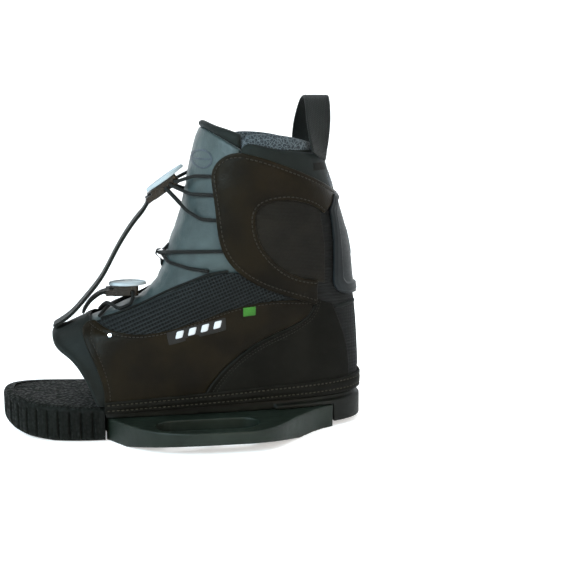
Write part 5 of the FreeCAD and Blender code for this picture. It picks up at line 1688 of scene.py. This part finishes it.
make_panel("side_patch", chart, softened_loop(outline_of(badge_field, 1.0), 2), (0.1, 0.62), BADGE_FIELD,
           node="side_badge", step=(1.6, 1.6), edge=0.5, rings=(0.2, 0.5))
for k in range(4):
    x0 = -24 + 10.5 * k
    z0 = 85.2 + 0.225 * (x0 + 24)
    bar = [(x0, z0), (x0 + 6, z0 + 1.3), (x0 + 7.5, z0 + 7.6), (x0 + 1.5, z0 + 6.3)]
    make_panel(f"side_patch_bar_{k + 1}", chart, softened_loop(outline_of(bar, 0.7), 3), (0.4, 1.0), BADGE,
               node="side_badge", step=(0.9, 0.9), edge=0.35, rings=(0.15, 0.35))
tag_points = [(33, 109.5), (43.5, 110.3), (43.5, 102.8), (33, 102)]
make_panel("side_tag_label", chart, outline_of(tag_points, 0.6), (0.1, 0.7), TAG,
           node="side_tag", step=(0.9, 0.9), edge=0.35, rings=(0.2, 0.4))
tab_points = [(91, 222), (104, 222), (103.5, 228.5), (91, 229)]
make_panel("loop_tab", chart, outline_of(tab_points, 0.8), (0.1, 1.7), LEATHER_HEEL, True,
           node="loop_tabs", step=(1.2, 1.2), edge=0.7, rings=(0.3, 0.7))
moulded("lace_rivets", "rivets", 0.16, 4, CHROME)
moulded("tongue_badge", "tongue_emblem", 0.26, 3, LEATHER_GREY_AND_PAINTED_SHEEN)
moulded("lace_keeper", "tongue_keeper", 0.26, 4, BINDING)
moulded("shield_medal", "shield_emblem", 0.34, 3, EMBLEM)
for label in ("upper", "lower"):
    moulded(f"{label}_lock_button", f"{label}_lock_slider", 0.17, 3, SLIDER, f"{label}_slider")

for node, material in (("lasting_board", BOARD), ("heel_stiffener", STIFFENER), ("chassis_screws", STEEL),
                       ("chassis_nuts", STEEL), ("upper_lock_spring", STEEL), ("lower_lock_spring", STEEL)):
    NODES[node].data.materials.clear()
    NODES[node].data.materials.append(material)


# ------------------------------------------------------------------ floor and light
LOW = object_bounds()[0]
# a shallow round studio dish: flat in the middle, rising to a wall all round
profile = [(0.0, 0.0), (1.0, 0.0), (2.0, 0.0)] + [(2.0 + 1.2 * math.sin(a), 1.2 - 1.2 * math.cos(a))
                                                  for a in np.linspace(0.1, 0.5 * math.pi, 14)] + [(3.2, 3.4)]
around_dish = 96
turns = [2 * math.pi * k / around_dish for k in range(around_dish)]
dish_verts = [(r * math.cos(a), r * math.sin(a), h) for r, h in profile for a in turns]
dish_faces = [(i * around_dish + k, i * around_dish + (k + 1) % around_dish,
               (i + 1) * around_dish + (k + 1) % around_dish, (i + 1) * around_dish + k)
              for i in range(len(profile) - 1) for k in range(around_dish)]
floor_mesh = bpy.data.meshes.new("floor")
floor_mesh.from_pydata(dish_verts, [], dish_faces)
floor_mesh.polygons.foreach_set("use_smooth", [True] * len(dish_faces))
floor = bpy.data.objects.new("floor", floor_mesh)
floor.location = (0, 0, min(LOW.z, 0.0) - 0.0002)
bpy.context.scene.collection.objects.link(floor)
paper = Finish("floor_paper", rough=0.9, specular=0.2)
paper.colour(paper.mix(paper.noise(paper.space(), 0.004, 3), (0.86, 0.86, 0.86), (0.9, 0.9, 0.9)))
paper.shader.inputs["Emission Color"].default_value = (1, 1, 1, 1)
paper.shader.inputs["Emission Strength"].default_value = 0.42
floor.data.materials.append(paper.material)


def area_light(name, location, target, size, power, colour):
    data = bpy.data.lights.new(name, "AREA")
    data.shape = "RECTANGLE"
    data.size, data.size_y = size
    data.energy = power
    data.color = colour
    lamp = bpy.data.objects.new(name, data)
    lamp.location = location
    lamp.rotation_euler = (Vector(target) - Vector(location)).to_track_quat("-Z", "Y").to_euler()
    bpy.context.scene.collection.objects.link(lamp)


area_light("key", (-1.5, -1.2, 1.3), (-0.06, 0, 0.12), (0.9, 0.9), 50, (0.62, 0.88, 1.0))
area_light("warm", (0.5, -1.7, 0.55), (0.0, 0, 0.08), (0.7, 0.5), 8, (1.0, 0.70, 0.42))
area_light("rear", (1.4, 0.5, 1.4), (0.08, 0, 0.15), (0.9, 0.8), 8, (0.86, 0.95, 1.0))
area_light("top", (0.0, 0.1, 2.0), (0, 0, 0), (1.2, 1.2), 6, (0.96, 0.98, 1.0))
world = bpy.data.worlds.new("studio")
world.use_nodes = True
world.node_tree.nodes["Background"].inputs["Color"].default_value = (0.95, 0.97, 1.0, 1)
world.node_tree.nodes["Background"].inputs["Strength"].default_value = 0.32
bpy.context.scene.world = world
bpy.context.scene.view_settings.view_transform = "Standard"
